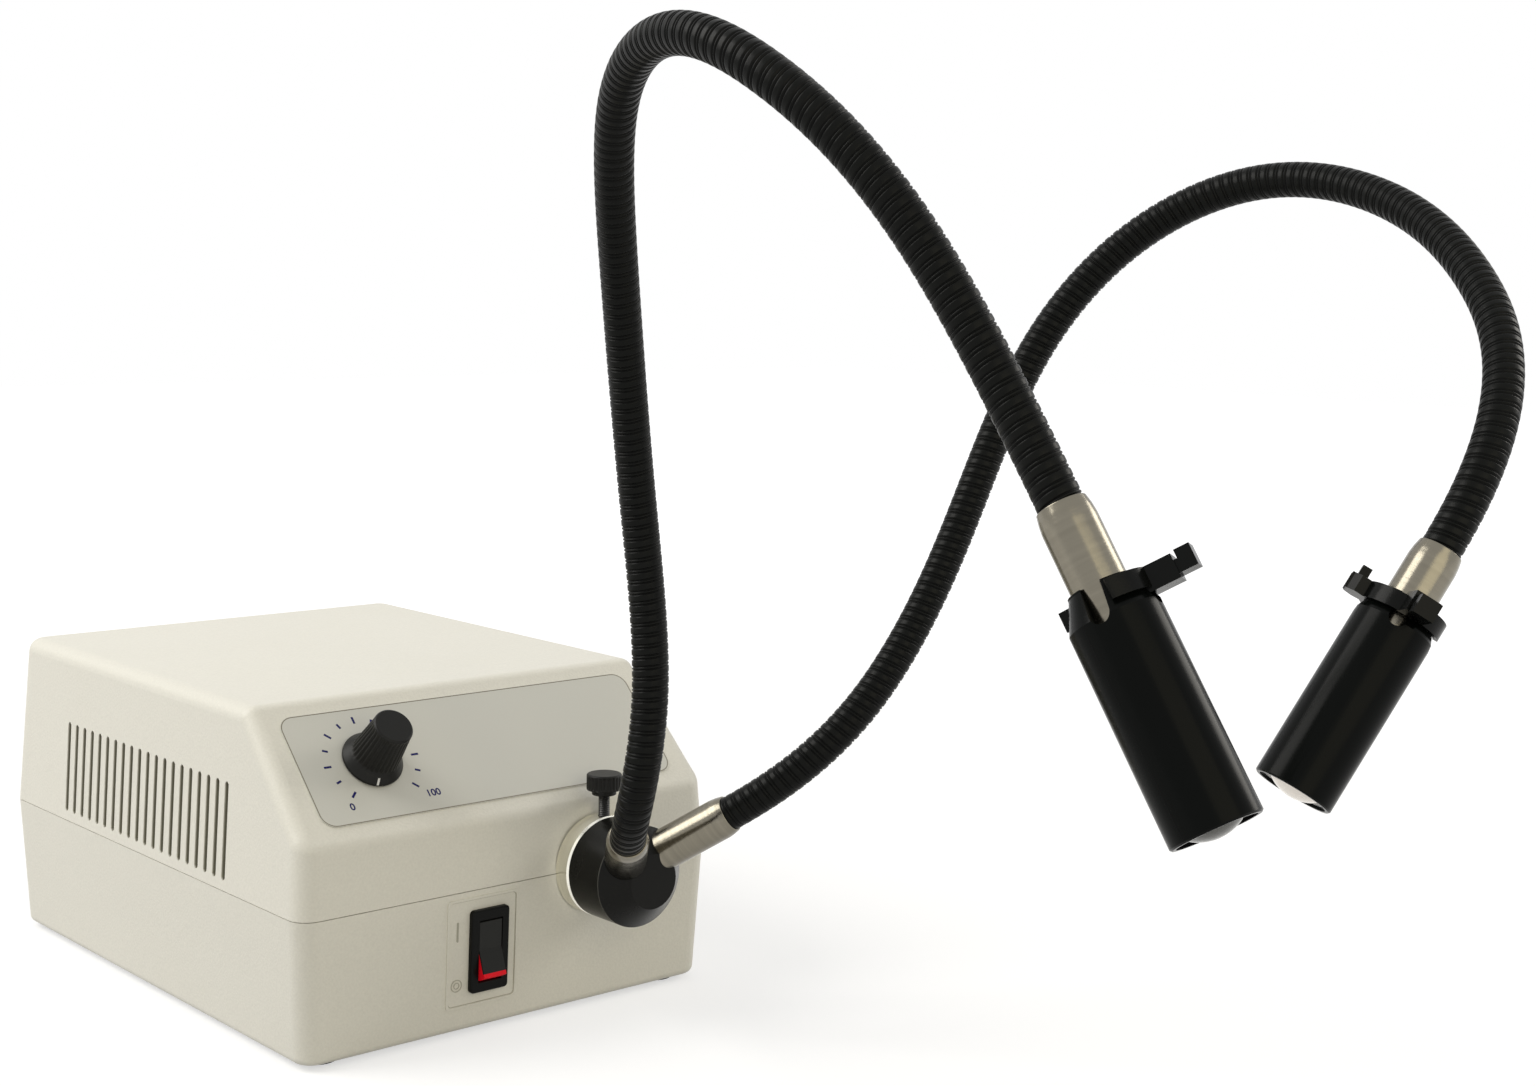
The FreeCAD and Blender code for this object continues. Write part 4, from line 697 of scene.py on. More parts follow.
# Painted shade: a darker cream for the raised marks and the line in the switch's frame, in place of the
# shading at their edges.
SHADE_CREAM = Moulded("painted_shade_cream", (0.46, 0.44, 0.37), 0.50, grains=1500.0, patches=20.0)
PANEL = Moulded("panel_film", (0.615, 0.610, 0.555), 0.42, grains=2600.0, depth=0.00003, patches=9.0,
                tone=0.035, speckle=0.7)
INK = Moulded("scale_ink", (0.012, 0.013, 0.105), 0.45, grains=900.0, patches=200.0, tone=0.12, specular=0.2)
OUTLINE_INK = Moulded("outline_ink", (0.20, 0.18, 0.13), 0.45, grains=900.0, patches=200.0, tone=0.10)
WHITE_LINE = Moulded("pointer_white", (0.78, 0.78, 0.76), 0.45, grains=900.0, patches=300.0, tone=0.04)
KNOB_BLACK = Moulded("knob_black", (0.0100, 0.0100, 0.0090), 0.42, grains=2200.0, depth=0.00003, tone=0.12,
                     specular=0.16)
SWITCH_BLACK = Moulded("switch_black", (0.0045, 0.0047, 0.0042), 0.34, grains=1800.0, depth=0.00003,
                       tone=0.10, specular=0.09)
ROCKER = CappedRocker("rocker_cap", (0.0150, 0.0155, 0.0140), 0.34, grains=1600.0, depth=0.00002, tone=0.10,
                      specular=0.17)
GLOSS_BLACK = Moulded("gloss_black", (0.0022, 0.0028, 0.0024), 0.24, grains=1200.0, depth=0.00001, tone=0.10,
                      dulling=0.04, specular=0.06)
HUB_BLACK = Rimmed("hub_black", (0.0060, 0.0060, 0.0050), 0.28, grains=1500.0, depth=0.00002, tone=0.10,
                   specular=0.12)
CLAMP_BLACK = Moulded("clamp_black", (0.0030, 0.0034, 0.0030), 0.26, grains=1400.0, depth=0.00003, tone=0.15,
                      specular=0.10)
FAN_BLACK = Moulded("fan_black", (0.012, 0.012, 0.012), 0.45, grains=1200.0, specular=0.2)
INLET_BLACK = Moulded("inlet_black", (0.010, 0.010, 0.010), 0.42, grains=1700.0, depth=0.00004, specular=0.2)
RUBBER = Moulded("rubber_black", (0.018, 0.018, 0.018), 0.75, grains=1300.0, depth=0.0001, tone=0.15,
                 specular=0.2)
BOARD = Moulded("board_mask", (0.012, 0.10, 0.045), 0.40, grains=700.0, depth=0.00005, patches=60.0, tone=0.2)
LED = Moulded("led_face", (0.80, 0.78, 0.55), 0.40, grains=900.0, patches=90.0, tone=0.05)
SATIN_NICKEL = Turned("ferrule_nickel", (0.205, 0.188, 0.150), 0.20, tone=0.16)
PLUG_NICKEL = Faced("plug_nickel", (0.50, 0.48, 0.42), 0.28, centre_x=37.0, centre_z=58.4)
BRIGHT_NICKEL = Faced("ring_nickel", (0.87, 0.85, 0.76), 0.24, tone=0.10, centre_x=37.0, centre_z=58.4)
ZINC = Rolled("zinc_sheet", (0.55, 0.56, 0.57), 0.34)
SCREW_BLACK = Turned("screw_black", (0.009, 0.009, 0.009), 0.38, metal=0.0, tone=0.2)
ALUMINIUM = Rolled("mill_aluminium", (0.62, 0.63, 0.64), 0.42, streaks=(20.0, 20.0, 400.0))
SUPPLY = Rolled("supply_sheet", (0.50, 0.51, 0.52), 0.38, streaks=(300.0, 20.0, 20.0))
HOSE = Hose("hose_skin", (0.0040, 0.0044, 0.0036), 0.26)
# Painted light: the second head's lens glows; the first head's lens is a darker copy of it, as painted shade.
LENS = Glass("lens_clear", (0.60, 0.565, 0.52), 0.12, clearness=0.3, glow=0.40)
SHADED_LENS = Glass("lens_shaded", (0.22, 0.22, 0.20), 0.10, clearness=0.75)
FIBRES = Glass("fibre_core", (0.90, 0.88, 0.80), 0.30, clearness=0.3)

NODE_FINISHES: dict[str, Finish] = {
    "upper_cover": COVER, "base_shell": CREAM, "rubber_feet": RUBBER, "case_screws": ZINC,
    "control_label": PANEL, "potentiometer": ZINC, "potentiometer_nut": ZINC,
    "potentiometer_shaft": ALUMINIUM, "rocker_bezel": SWITCH_BLACK, "receptacle_ring": BRIGHT_NICKEL,
    "receptacle_nut": PLUG_NICKEL, "light_guide_plug": PLUG_NICKEL, "fibre_bundle_common": FIBRES,
    "hub": HUB_BLACK, "led_module": LED, "condenser_holder": GLOSS_BLACK, "condenser_lens": LENS,
    "heat_sink": ALUMINIUM, "heat_sink_bracket": ZINC, "fan_frame": FAN_BLACK, "fan_rotor": FAN_BLACK,
    "driver_board": BOARD, "power_supply": SUPPLY, "mains_inlet": INLET_BLACK}
ARM_FINISHES: dict[str, Finish] = {
    "fibre_bundle_lower": FIBRES, "fibre_bundle_middle": FIBRES, "fibre_bundle_upper": FIBRES,
    "lens_barrel": GLOSS_BLACK, "snap_clamp": CLAMP_BLACK}


@dataclass(frozen=True)
class Seat:
    """A place on the object with its own directions: across, up and out."""

    origin: Array
    out: Array
    hint: Array

    def axes(self) -> Array:
        """The three directions as rows: across, up, out.

        Returns:
            A (3, 3) array.
        """
        out = unit(self.out)
        across = unit(self.hint - (self.hint @ out) * out)
        return np.array([across, np.cross(out, across), out])

    def place(self, points: Array) -> Array:
        """Local millimetres (..., 3) as the frame's metres."""
        return (self.origin + np.asarray(points, float) @ self.axes()) * MM

    def moved(self, across: float, up: float, out: float = 0.0) -> Seat:
        """The same directions at another place in the local plane."""
        return Seat(self.origin + np.array([across, up, out]) @ self.axes(), self.out, self.hint)


def add_piece(name: str, points: Array, faces: list, finish: Finish, sharp: float = 35.0,
              uv: Optional[Array] = None, rib: Optional[Array] = None) -> bpy.types.Object:
    """Put a surface into the scene.

    Args:
        name: the piece's name.
        points: (n, 3) vertices in the frame's metres.
        faces: lists of vertex numbers.
        finish: what it is made of.
        sharp: the angle in degrees from which an edge stays sharp.
        uv: (n, 2) coordinates of the piece's own map.
        rib: (n,) rib height from 0 in a groove to 1.

    Returns:
        The new object, at the origin.
    """
    mesh = bpy.data.meshes.new(name)
    mesh.from_pydata(points.tolist(), [], faces)
    mesh.update()
    centred = points - points.mean(axis=0)
    mesh.calc_loop_triangles()
    corners = np.zeros(len(mesh.loop_triangles) * 3, np.int32)
    mesh.loop_triangles.foreach_get("vertices", corners)
    a, b, c = centred[corners.reshape(-1, 3)].transpose(1, 0, 2)
    if np.einsum("ij,ij->i", a, np.cross(b, c)).sum() < 0:
        mesh.flip_normals()
    mesh.shade_smooth()
    mesh.set_sharp_from_angle(angle=math.radians(sharp))
    if uv is not None:
        order = np.zeros(len(mesh.loops), np.int32)
        mesh.loops.foreach_get("vertex_index", order)
        mesh.uv_layers.new(name="UVMap").data.foreach_set("uv", uv[order].astype(np.float32).ravel())
    if rib is not None:
        layer = mesh.attributes.new("rib", "FLOAT", "POINT")
        layer.data.foreach_set("value", rib.astype(np.float32))
    mesh.materials.append(finish.material())
    piece = bpy.data.objects.new(name, mesh)
    bpy.context.scene.collection.objects.link(piece)
    LOG.info("%s: %d faces", name, len(faces))
    return piece


def ring_faces(rows: int, columns: int, looped: bool) -> list:
    """The faces of a grid whose rows are closed rings.

    Args:
        rows: rings in the grid.
        columns: vertices in each ring.
        looped: whether the last ring joins the first. Otherwise two more vertices, numbered after
            the grid, close the first and the last ring as fans.

    Returns:
        Lists of vertex numbers.
    """
    number = np.arange(rows * columns).reshape(rows, columns)
    ahead = np.roll(number, -1, axis=1)
    if looped:
        quads = np.stack([number, ahead, np.roll(ahead, -1, axis=0), np.roll(number, -1, axis=0)], axis=-1)
        return quads.reshape(-1, 4).tolist()
    quads = np.stack([number[:-1], ahead[:-1], ahead[1:], number[1:]], axis=-1).reshape(-1, 4)
    first = np.full(columns, rows * columns)
    low = np.stack([ahead[0], number[0], first], axis=-1)
    high = np.stack([number[-1], ahead[-1], first + 1], axis=-1)
    return quads.tolist() + low.tolist() + high.tolist()


def soften(profile: Array, radius: float, steps: int = 5) -> Array:
    """A profile with its corners rounded.

    Each corner P becomes the curve (1-t)^2 A + 2t(1-t) P + t^2 B, where A and B lie at the given
    distance before and after it, or at under half of the shorter run. A point just outside each
    end of the curve keeps the shading of the flats beside it even.

    Args:
        profile: (n, 2) points, the first and last of which stay.
        radius: the distance from a corner at which its rounding starts.
        steps: runs in each rounding.

    Returns:
        (m, 2) points.
    """
    before, corner, after = profile[:-2], profile[1:-1], profile[2:]
    back, ahead = before - corner, after - corner
    reach = np.minimum(np.linalg.norm(back, axis=1), np.linalg.norm(ahead, axis=1)) * 0.45
    reach = np.minimum(reach, radius)[:, None]
    back, ahead = unit(back), unit(ahead)
    share = np.linspace(0, 1, steps + 1)[None, :, None]
    start, end = (corner + back * reach)[:, None], (corner + ahead * reach)[:, None]
    curve = (1 - share) ** 2 * start + 2 * share * (1 - share) * corner[:, None] + share ** 2 * end
    outside = 1.12
    first, last = corner + back * reach * outside, corner + ahead * reach * outside
    curve = np.concatenate([first[:, None], curve, last[:, None]], axis=1)
    return np.concatenate([profile[:1], curve.reshape(-1, 2), profile[-1:]])


def turned(seat: Seat, profile: Array, segments: int, looped: bool = False,
           ripple: Optional[Callable[[Array, Array], Array]] = None) -> tuple[Array, list, Array]:
    """A turned surface about a seat's outward axis.

    Point (angle, s) is origin + along(s) out + (radius(s) + ripple(angle, along)) (cos angle across
    + sin angle up).

    Args:
        seat: the axis and where it starts.
        profile: (n, 2) radius and distance along the axis.
        segments: steps round the axis.
        looped: whether the profile is a closed outline, as of a tube with walls.
        ripple: change of radius by angle and distance along, for flutes or a thread.

    Returns:
        The vertices in metres, the faces and the map, whose second coordinate is in millimetres.
    """
    angle = np.arange(segments) / segments * 2 * math.pi
    radius = np.repeat(profile[:, :1], segments, axis=1)
    along = np.repeat(profile[:, 1:], segments, axis=1)
    angles = np.repeat(angle[None, :], len(profile), axis=0)
    if ripple is not None:
        radius = radius + ripple(angles, along)
    local = np.stack([radius * np.cos(angles), radius * np.sin(angles), along], axis=-1)
    uv = np.stack([angles / (2 * math.pi), along + radius], axis=-1).reshape(-1, 2)
    points = local.reshape(-1, 3)
    if not looped:
        ends = profile[[0, -1], 1]
        points = np.concatenate([points, np.stack([ends * 0, ends * 0, ends], axis=-1)])
        uv = np.concatenate([uv, np.stack([ends * 0, ends], axis=-1)])
    return seat.place(points), ring_faces(len(profile), segments, looped), uv


def fluting(count: int, depth: float, low: float, high: float,
            fades: tuple[float, float]) -> Callable[[Array, Array], Array]:
    """Round grooves along a turned piece.

    The change of radius is -depth times the power 1.5 of half of (1 + cos(count angle)), times a
    fade that rises from 0 at the low end and falls to 0 at the high end.

    Args:
        count: grooves round the piece.
        depth: how deep each is.
        low: where they start along the axis.
        high: where they end.
        fades: the lengths over which they reach their depth at the low and the high end.

    Returns:
        The change of radius by angle and distance along.
    """

    def ripple(angle: Array, along: Array) -> Array:
        """The change of radius at angles and distances.

        Args:
            angle: angles round the axis in radians.
            along: distances along the axis.

        Returns:
            The change at each.
        """
        peak = (0.5 + 0.5 * np.cos(angle * count)) ** 1.5
        fade = np.clip((along - low) / fades[0], 0, 1) * np.clip((high - along) / fades[1], 0, 1)
        return -depth * peak * fade

    return ripple


def strips(seat: Seat, centres: Array, turns: Array, lengths: Array, width: float,
           thickness: float) -> tuple[Array, list]:
    """Flat bars on a seat's plane, each about its own centre and turned by its own angle.

    Args:
        seat: the plane.
        centres: (n, 2) middles in millimetres.
        turns: (n,) angles of their length in radians.
        lengths: (n,) lengths.
        width: the width of every bar.
        thickness: how far they stand out.

    Returns:
        The vertices in metres and the faces.
    """
    square = [[-1, -1], [1, -1], [1, 1], [-1, 1]]
    corner = np.array([[*place, level] for level in (0, 1) for place in square])
    half = np.stack([lengths / 2, lengths * 0 + width / 2], axis=-1)
    flat = corner[None, :, :2] * half[:, None, :]
    cos, sin = np.cos(turns)[:, None], np.sin(turns)[:, None]
    x = flat[..., 0] * cos - flat[..., 1] * sin + centres[:, None, 0]
    y = flat[..., 0] * sin + flat[..., 1] * cos + centres[:, None, 1]
    z = np.repeat(corner[None, :, 2] * thickness, len(centres), axis=0)
    side = np.array([[3, 2, 1, 0], [4, 5, 6, 7], [0, 1, 5, 4], [1, 2, 6, 5], [2, 3, 7, 6], [3, 0, 4, 7]])
    faces = (side[None] + np.arange(len(centres))[:, None, None] * 8).reshape(-1, 4).tolist()
    return seat.place(np.stack([x, y, z], axis=-1).reshape(-1, 3)), faces


def outline_band(seat: Seat, outline: Array, width: float, thickness: float) -> tuple[Array, list]:
    """A closed line of even width that stands on a seat's plane.

    Args:
        seat: the plane.
        outline: (n, 2) points of its middle line.
        width: the line's width.
        thickness: how far it stands out.

    Returns:
        The vertices in metres and the faces.
    """
    along = unit(np.roll(outline, -1, axis=0) - np.roll(outline, 1, axis=0))
    normal = np.stack([along[:, 1], -along[:, 0]], axis=-1)
    inner, outer = outline - normal * width / 2, outline + normal * width / 2
    low, high = np.zeros((len(outline), 1)), np.full((len(outline), 1), thickness)
    rings = [np.hstack(pair) for pair in ((inner, low), (outer, low), (outer, high), (inner, high))]
    return seat.place(np.concatenate(rings)), ring_faces(4, len(outline), True)


def rounded_outline(width: float, height: float, radius: float, steps: int = 8) -> Array:
    """The outline of a rectangle with round corners about the origin, as (n, 2) points.

    Args:
        width: the rectangle's width.
        height: its height.
        radius: the radius of its corners.
        steps: runs in each corner.

    Returns:
        (n, 2) points.
    """
    quarter = np.linspace(0, math.pi / 2, steps + 1)
    turns = (np.arange(4)[:, None] * math.pi / 2 + quarter[None, :]).reshape(-1)
    inset = np.array([width / 2 - radius, height / 2 - radius])
    middles = np.array([[1, 1], [-1, 1], [-1, -1], [1, -1]]) * inset
    return np.repeat(middles, steps + 1, axis=0) + radius * np.stack([np.cos(turns), np.sin(turns)], axis=-1)


def numerals(name: str, text: str, seat: Seat, height: float, lift: float,
             finish: Finish) -> bpy.types.Object:
    """Flat dial numbers on a seat, centred on it.

    Args:
        name: the piece's name.
        text: the digits.
        seat: their place and directions.
        height: the height of a digit in millimetres.
        lift: how far the ink stands out.
        finish: their ink.

    Returns:
        The new mesh piece.
    """
    curve = bpy.data.curves.new(name + "_outline", "FONT")
    curve.body = text
    curve.align_x, curve.align_y = "CENTER", "CENTER"
    curve.extrude, curve.offset = 0.01, 0.022
    words = bpy.data.objects.new(name + "_outline", curve)
    bpy.context.scene.collection.objects.link(words)
    mesh = bpy.data.meshes.new_from_object(words.evaluated_get(bpy.context.evaluated_depsgraph_get()))
    flat = np.zeros(len(mesh.vertices) * 3)
    mesh.vertices.foreach_get("co", flat)
    flat = flat.reshape(-1, 3)
    scale = height / np.ptp(flat[:, 1])
    flat[:, :2] *= scale
    flat[:, 2] = np.where(flat[:, 2] > 0, lift, 0.0)
    faces = [list(p.vertices) for p in mesh.polygons]
    bpy.data.objects.remove(words)
    bpy.data.meshes.remove(mesh)
    return add_piece(name, seat.place(flat), faces, finish)


def dress(frame: dict, finishes: dict[str, Finish]) -> None:
    """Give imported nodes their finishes.

    Args:
        finishes: the finishes by node name.
    """
    for node, finish in finishes.items():
        slots = frame["nodes"][node].data.materials
        slots.clear()
        slots.append(finish.material())
        LOG.info("%s: dressed in %s", node, finish.name)


X, Y, Z = np.eye(3)


@dataclass(frozen=True)
class Housing:
    """The two-part case, with the raised marks beside the switch and a line inside the switch's frame, both
    in a darker cream that is painted shade.
    """

    front: float = -124.0
    seam: float = 57.0
    base_draft: float = 2.6
    base_height: float = 55.0
    mark_x: float = -27.8
    off_z: float = 20.7
    on_z: float = 41.8
    off_radius: float = 2.3
    on_length: float = 7.5
    line: float = 0.45
    line_share: float = 0.7
    raised: float = 0.25
    edge_raised: float = 0.04
    ring_points: int = 40
    frame_x: float = -16.5
    frame_z: float = 33.0
    frame_size: tuple[float, float] = (29.9, 40.9)
    frame_radius: float = 1.6

    def wall_seat(self, x: float, z: float) -> Seat:
        """A place on the lower front wall, which leans in towards the floor.

        Args:
            x: its distance to the right of the frame's middle.
            z: its height above the floor.

        Returns:
            The seat, with its outward direction to the front.
        """
        lean = math.atan2(self.base_draft, self.base_height)
        inset = self.base_draft * (self.seam - z) / self.base_height
        return Seat(np.array([x, self.front + inset, z]), np.array([0, -math.cos(lean), -math.sin(lean)]), X)

    def build(self) -> None:
        """The raised marks, two rings for off and a bar for on, and a painted shadow line inside the switch's
        frame, all in the darker cream of painted shade.
        """
        angle = np.arange(self.ring_points) / self.ring_points * 2 * math.pi
        circle = np.stack([np.cos(angle), np.sin(angle)], axis=-1)
        off, on = self.wall_seat(self.mark_x, self.off_z), self.wall_seat(self.mark_x, self.on_z)
        frame = self.wall_seat(self.frame_x, self.frame_z)
        bar = rounded_outline(self.line, self.on_length, self.line / 2)
        edge = rounded_outline(*self.frame_size, self.frame_radius)
        outlines = (
            ("mark_off", off, circle * self.off_radius, self.raised),
            ("mark_off_inner", off, circle * self.off_radius / 2, self.raised),
            ("mark_on", on, bar, self.raised),
            ("frame_shadow_line", frame, edge, self.edge_raised))
        for name, seat, outline, raised in outlines:
            points, faces = outline_band(seat, outline, self.line * self.line_share, raised)
            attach(add_piece(name, points, faces, SHADE_CREAM), "housing")


@dataclass(frozen=True)
class ControlPanel:
    """The sloped panel: its printed scale and the fluted knob."""

    slope_foot: tuple[float, float] = (-122.3887, 83.0)
    slope_head: tuple[float, float] = (-77.0, 128.0)
    knob_x: float = -50.0
    knob_up: float = 33.0
    label_width: float = 161.0
    label_length: float = 49.5
    label_foot: float = 7.5
    label_thickness: float = 0.4
    skirt_radius: float = 12.0
    skirt_height: float = 3.2
    body_radius: float = 9.4
    top_radius: float = 7.7
    height: float = 23.0
    clearance: float = 0.5
    flutes: int = 30
    flute_depth: float = 0.42
    flute_inset: tuple[float, float] = (1.2, 0.9)
    flute_fades: tuple[float, float] = (0.8, 0.5)
    hollow: tuple[float, float] = (7.3, 3.4)
    bore: tuple[float, float] = (3.05, 15.3)
    shoulder_run: float = 1.0
    wall_rows: int = 24
    wall_end: float = 1.8
    rim_drop: float = 0.7
    rim_inset: float = 0.6
    rim_run: float = 1.1
    cap_radius: float = 2.0
    rim_softness: float = 0.3
    skirt_softness: float = 0.35
    steps_per_flute: int = 8
    sharp: float = 50.0
    outline_inset: float = 0.7
    outline_radius: float = 5.7
    outline_width: float = 0.38
    outline_lift: float = 0.02
    ink_lift: float = 0.03
    tick_radius: float = 18.4
    tick_first: float = 225.0
    tick_step: float = 22.5
    ticks: int = 13
    tick_lengths: tuple[float, float] = (3.1, 2.3)
    tick_inset: float = 1.2
    tick_width: float = 0.92
    numbers: tuple[tuple[str, str, float, float], ...] = (
        ("scale_low", "0", -66.0, 14.7), ("scale_high", "100", -30.9, 15.2))
    number_height: float = 3.1
    pointer_bearing: float = 255.0
    pointer_half_width: float = 0.42
    pointer_rises: tuple[float, float, float, float] = (0.75, 1.0, 1.42, 3.1)
    pointer_insets: tuple[float, float] = (0.3, 1.05)
    pointer_levels: tuple[float, float] = (-0.15, 0.05)
    pointer_lean: tuple[float, float] = (0.8, 0.6)

    def seat(self, across: float = 0.0, up: float = 0.0, out: float = 0.0) -> Seat:
        """A place on the slope, by the distance to the right of its middle and up from its foot.

        Args:
            across: the distance to the right.
            up: the distance up the slope.
            out: the distance out from it.

        Returns:
            The seat.
        """
        (y0, z0), (y1, z1) = self.slope_foot, self.slope_head
        run = unit(np.array([0, y1 - y0, z1 - z0]))
        out_way = np.array([0, -run[2], run[1]])
        return Seat(np.array([0, y0, z0]), out_way, X).moved(across, up, out)

    def build(self) -> None:
        """The print and the knob."""
        self.build_print()
        self.build_knob()

    def build_print(self) -> None:
        """The thin outline of the label, the ticks of the scale and its two numbers."""
        top = self.label_thickness
        middle = self.seat(0, self.label_foot + self.label_length / 2, top)
        inset = self.outline_inset
        line = rounded_outline(self.label_width - inset, self.label_length - inset, self.outline_radius)
        points, faces = outline_band(middle, line, self.outline_width, self.outline_lift)
        pieces = [add_piece("label_outline", points, faces, OUTLINE_INK)]
        hub = self.seat(self.knob_x, self.knob_up, top)
        index = np.arange(self.ticks)
        angle = np.radians(self.tick_first - self.tick_step * index)
        way = np.stack([np.cos(angle), np.sin(angle)], axis=-1)
        lengths = np.where(index % 2 == 0, *self.tick_lengths)
        middles = way * (self.tick_radius + lengths[:, None] / 2 - self.tick_inset)
        points, faces = strips(hub, middles, angle, lengths, self.tick_width, self.ink_lift)
        pieces.append(add_piece("scale_ticks", points, faces, INK))
        for name, text, x, up in self.numbers:
            seat = self.seat(x, up, top)
            pieces.append(numerals(name, text, seat, self.number_height, self.ink_lift, INK))
        for piece in pieces:
            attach(piece, "housing")

    def outline(self) -> Array:
        """The knob's profile, from the end of its bore round its skirt to the rim of its top.

        Returns:
            (n, 2) radius and height.
        """
        low = self.label_thickness + self.clearance
        shoulder = low + self.skirt_height
        bore, deep = self.bore
        hollow, deck = self.hollow
        skirt = np.array([
            (bore, deep), (bore, deck), (hollow, deck), (hollow, low), (self.skirt_radius, low),
            (self.skirt_radius, low + self.skirt_height / 3),
            (self.body_radius + self.shoulder_run, shoulder),
            (self.body_radius, shoulder + self.shoulder_run)])
        rise = np.linspace(0, 1, self.wall_rows)[1:-1, None]
        wall_top = np.array([self.top_radius, self.height - self.wall_end])
        wall = np.array([self.body_radius, shoulder + self.shoulder_run]) * (1 - rise) + rise * wall_top
        top = np.array([
            (self.top_radius, self.height - self.rim_drop), (self.top_radius - self.rim_inset, self.height)])
        head = np.vstack([top[:1] - (0, self.rim_run), top, [(self.cap_radius, self.height)]])
        head = soften(head, self.rim_softness)
        return np.vstack([soften(skirt, self.skirt_softness), wall[:-1], head[1:]])

    def build_knob(self) -> None:
        """The knob with its flutes, and the white line on its skirt."""
        start = self.label_thickness + self.clearance + self.skirt_height + self.flute_inset[0]
        flutes = fluting(
            self.flutes, self.flute_depth, start, self.height - self.flute_inset[1], self.flute_fades)
        seat = self.seat(self.knob_x, self.knob_up)
        points, faces, uv = turned(seat, self.outline(), self.flutes * self.steps_per_flute, ripple=flutes)
        knob = add_piece("knob", points, faces, KNOB_BLACK, sharp=self.sharp, uv=uv)
        low = self.label_thickness + self.clearance
        edge = self.skirt_radius
        foot, bend, slope, end = (low + rise for rise in self.pointer_rises)
        path = np.array([
            (edge, foot), (edge, bend), (edge - self.pointer_insets[0], slope),
            (self.body_radius + self.pointer_insets[1], end)])
        across = np.array([-1, 1, 1, -1]) * self.pointer_half_width
        lift = np.repeat(self.pointer_levels, 2)
        out, up = lift * self.pointer_lean[0], lift * self.pointer_lean[1]
        wide = np.repeat(across[None], len(path), 0)
        rings = np.stack([path[:, 0, None] + out, wide, path[:, 1, None] + up], axis=-1)
        bearing = math.radians(self.pointer_bearing)
        cos, sin = math.cos(bearing), math.sin(bearing)
        spin = np.array([[cos, sin, 0], [-sin, cos, 0], [0, 0, 1]])
        local = rings.reshape(-1, 3) @ spin
        ends = rings[[0, -1]].mean(axis=1) @ spin
        points = seat.place(np.concatenate([local, ends]))
        pointer = add_piece("knob_pointer", points, ring_faces(len(path), 4, False), WHITE_LINE)
        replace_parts(knob, "intensity_knob")
        for piece in (knob, pointer):
            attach(piece, "knob")


@dataclass(frozen=True)
class PowerSwitch:
    """The lit rocker in its bezel."""

    x: float = -14.0
    z: float = 33.0
    pivot: float = -1.6
    valley: float = 3.6
    tilt: float = 11.0
    cap: float = 0.7
    cap_length: float = 9.3

    def rocker_finish(self, wall: Seat) -> Finish:
        """The rocker's two colours, split by a plane under its lower face.

        Args:
            wall: the switch's place on the front wall.

        Returns:
            The rocker's finish with its two planes set.
        """
        slope = math.radians(self.tilt * 2)
        rest = math.radians(self.tilt)
        face_way = np.array([0, math.sin(slope), math.cos(slope)])
        top = np.array([0, math.sin(rest) * self.valley, math.cos(rest) * self.valley + self.pivot])
        split = top - face_way * self.cap
        run = np.array([0, -math.cos(slope), math.sin(slope)])
        axes = wall.axes()
        return replace(
            ROCKER, seat=tuple(wall.origin + split @ axes), outward=tuple(face_way @ axes),
            end=tuple(wall.origin + (top + run * self.cap_length) @ axes), downward=tuple(run @ axes))


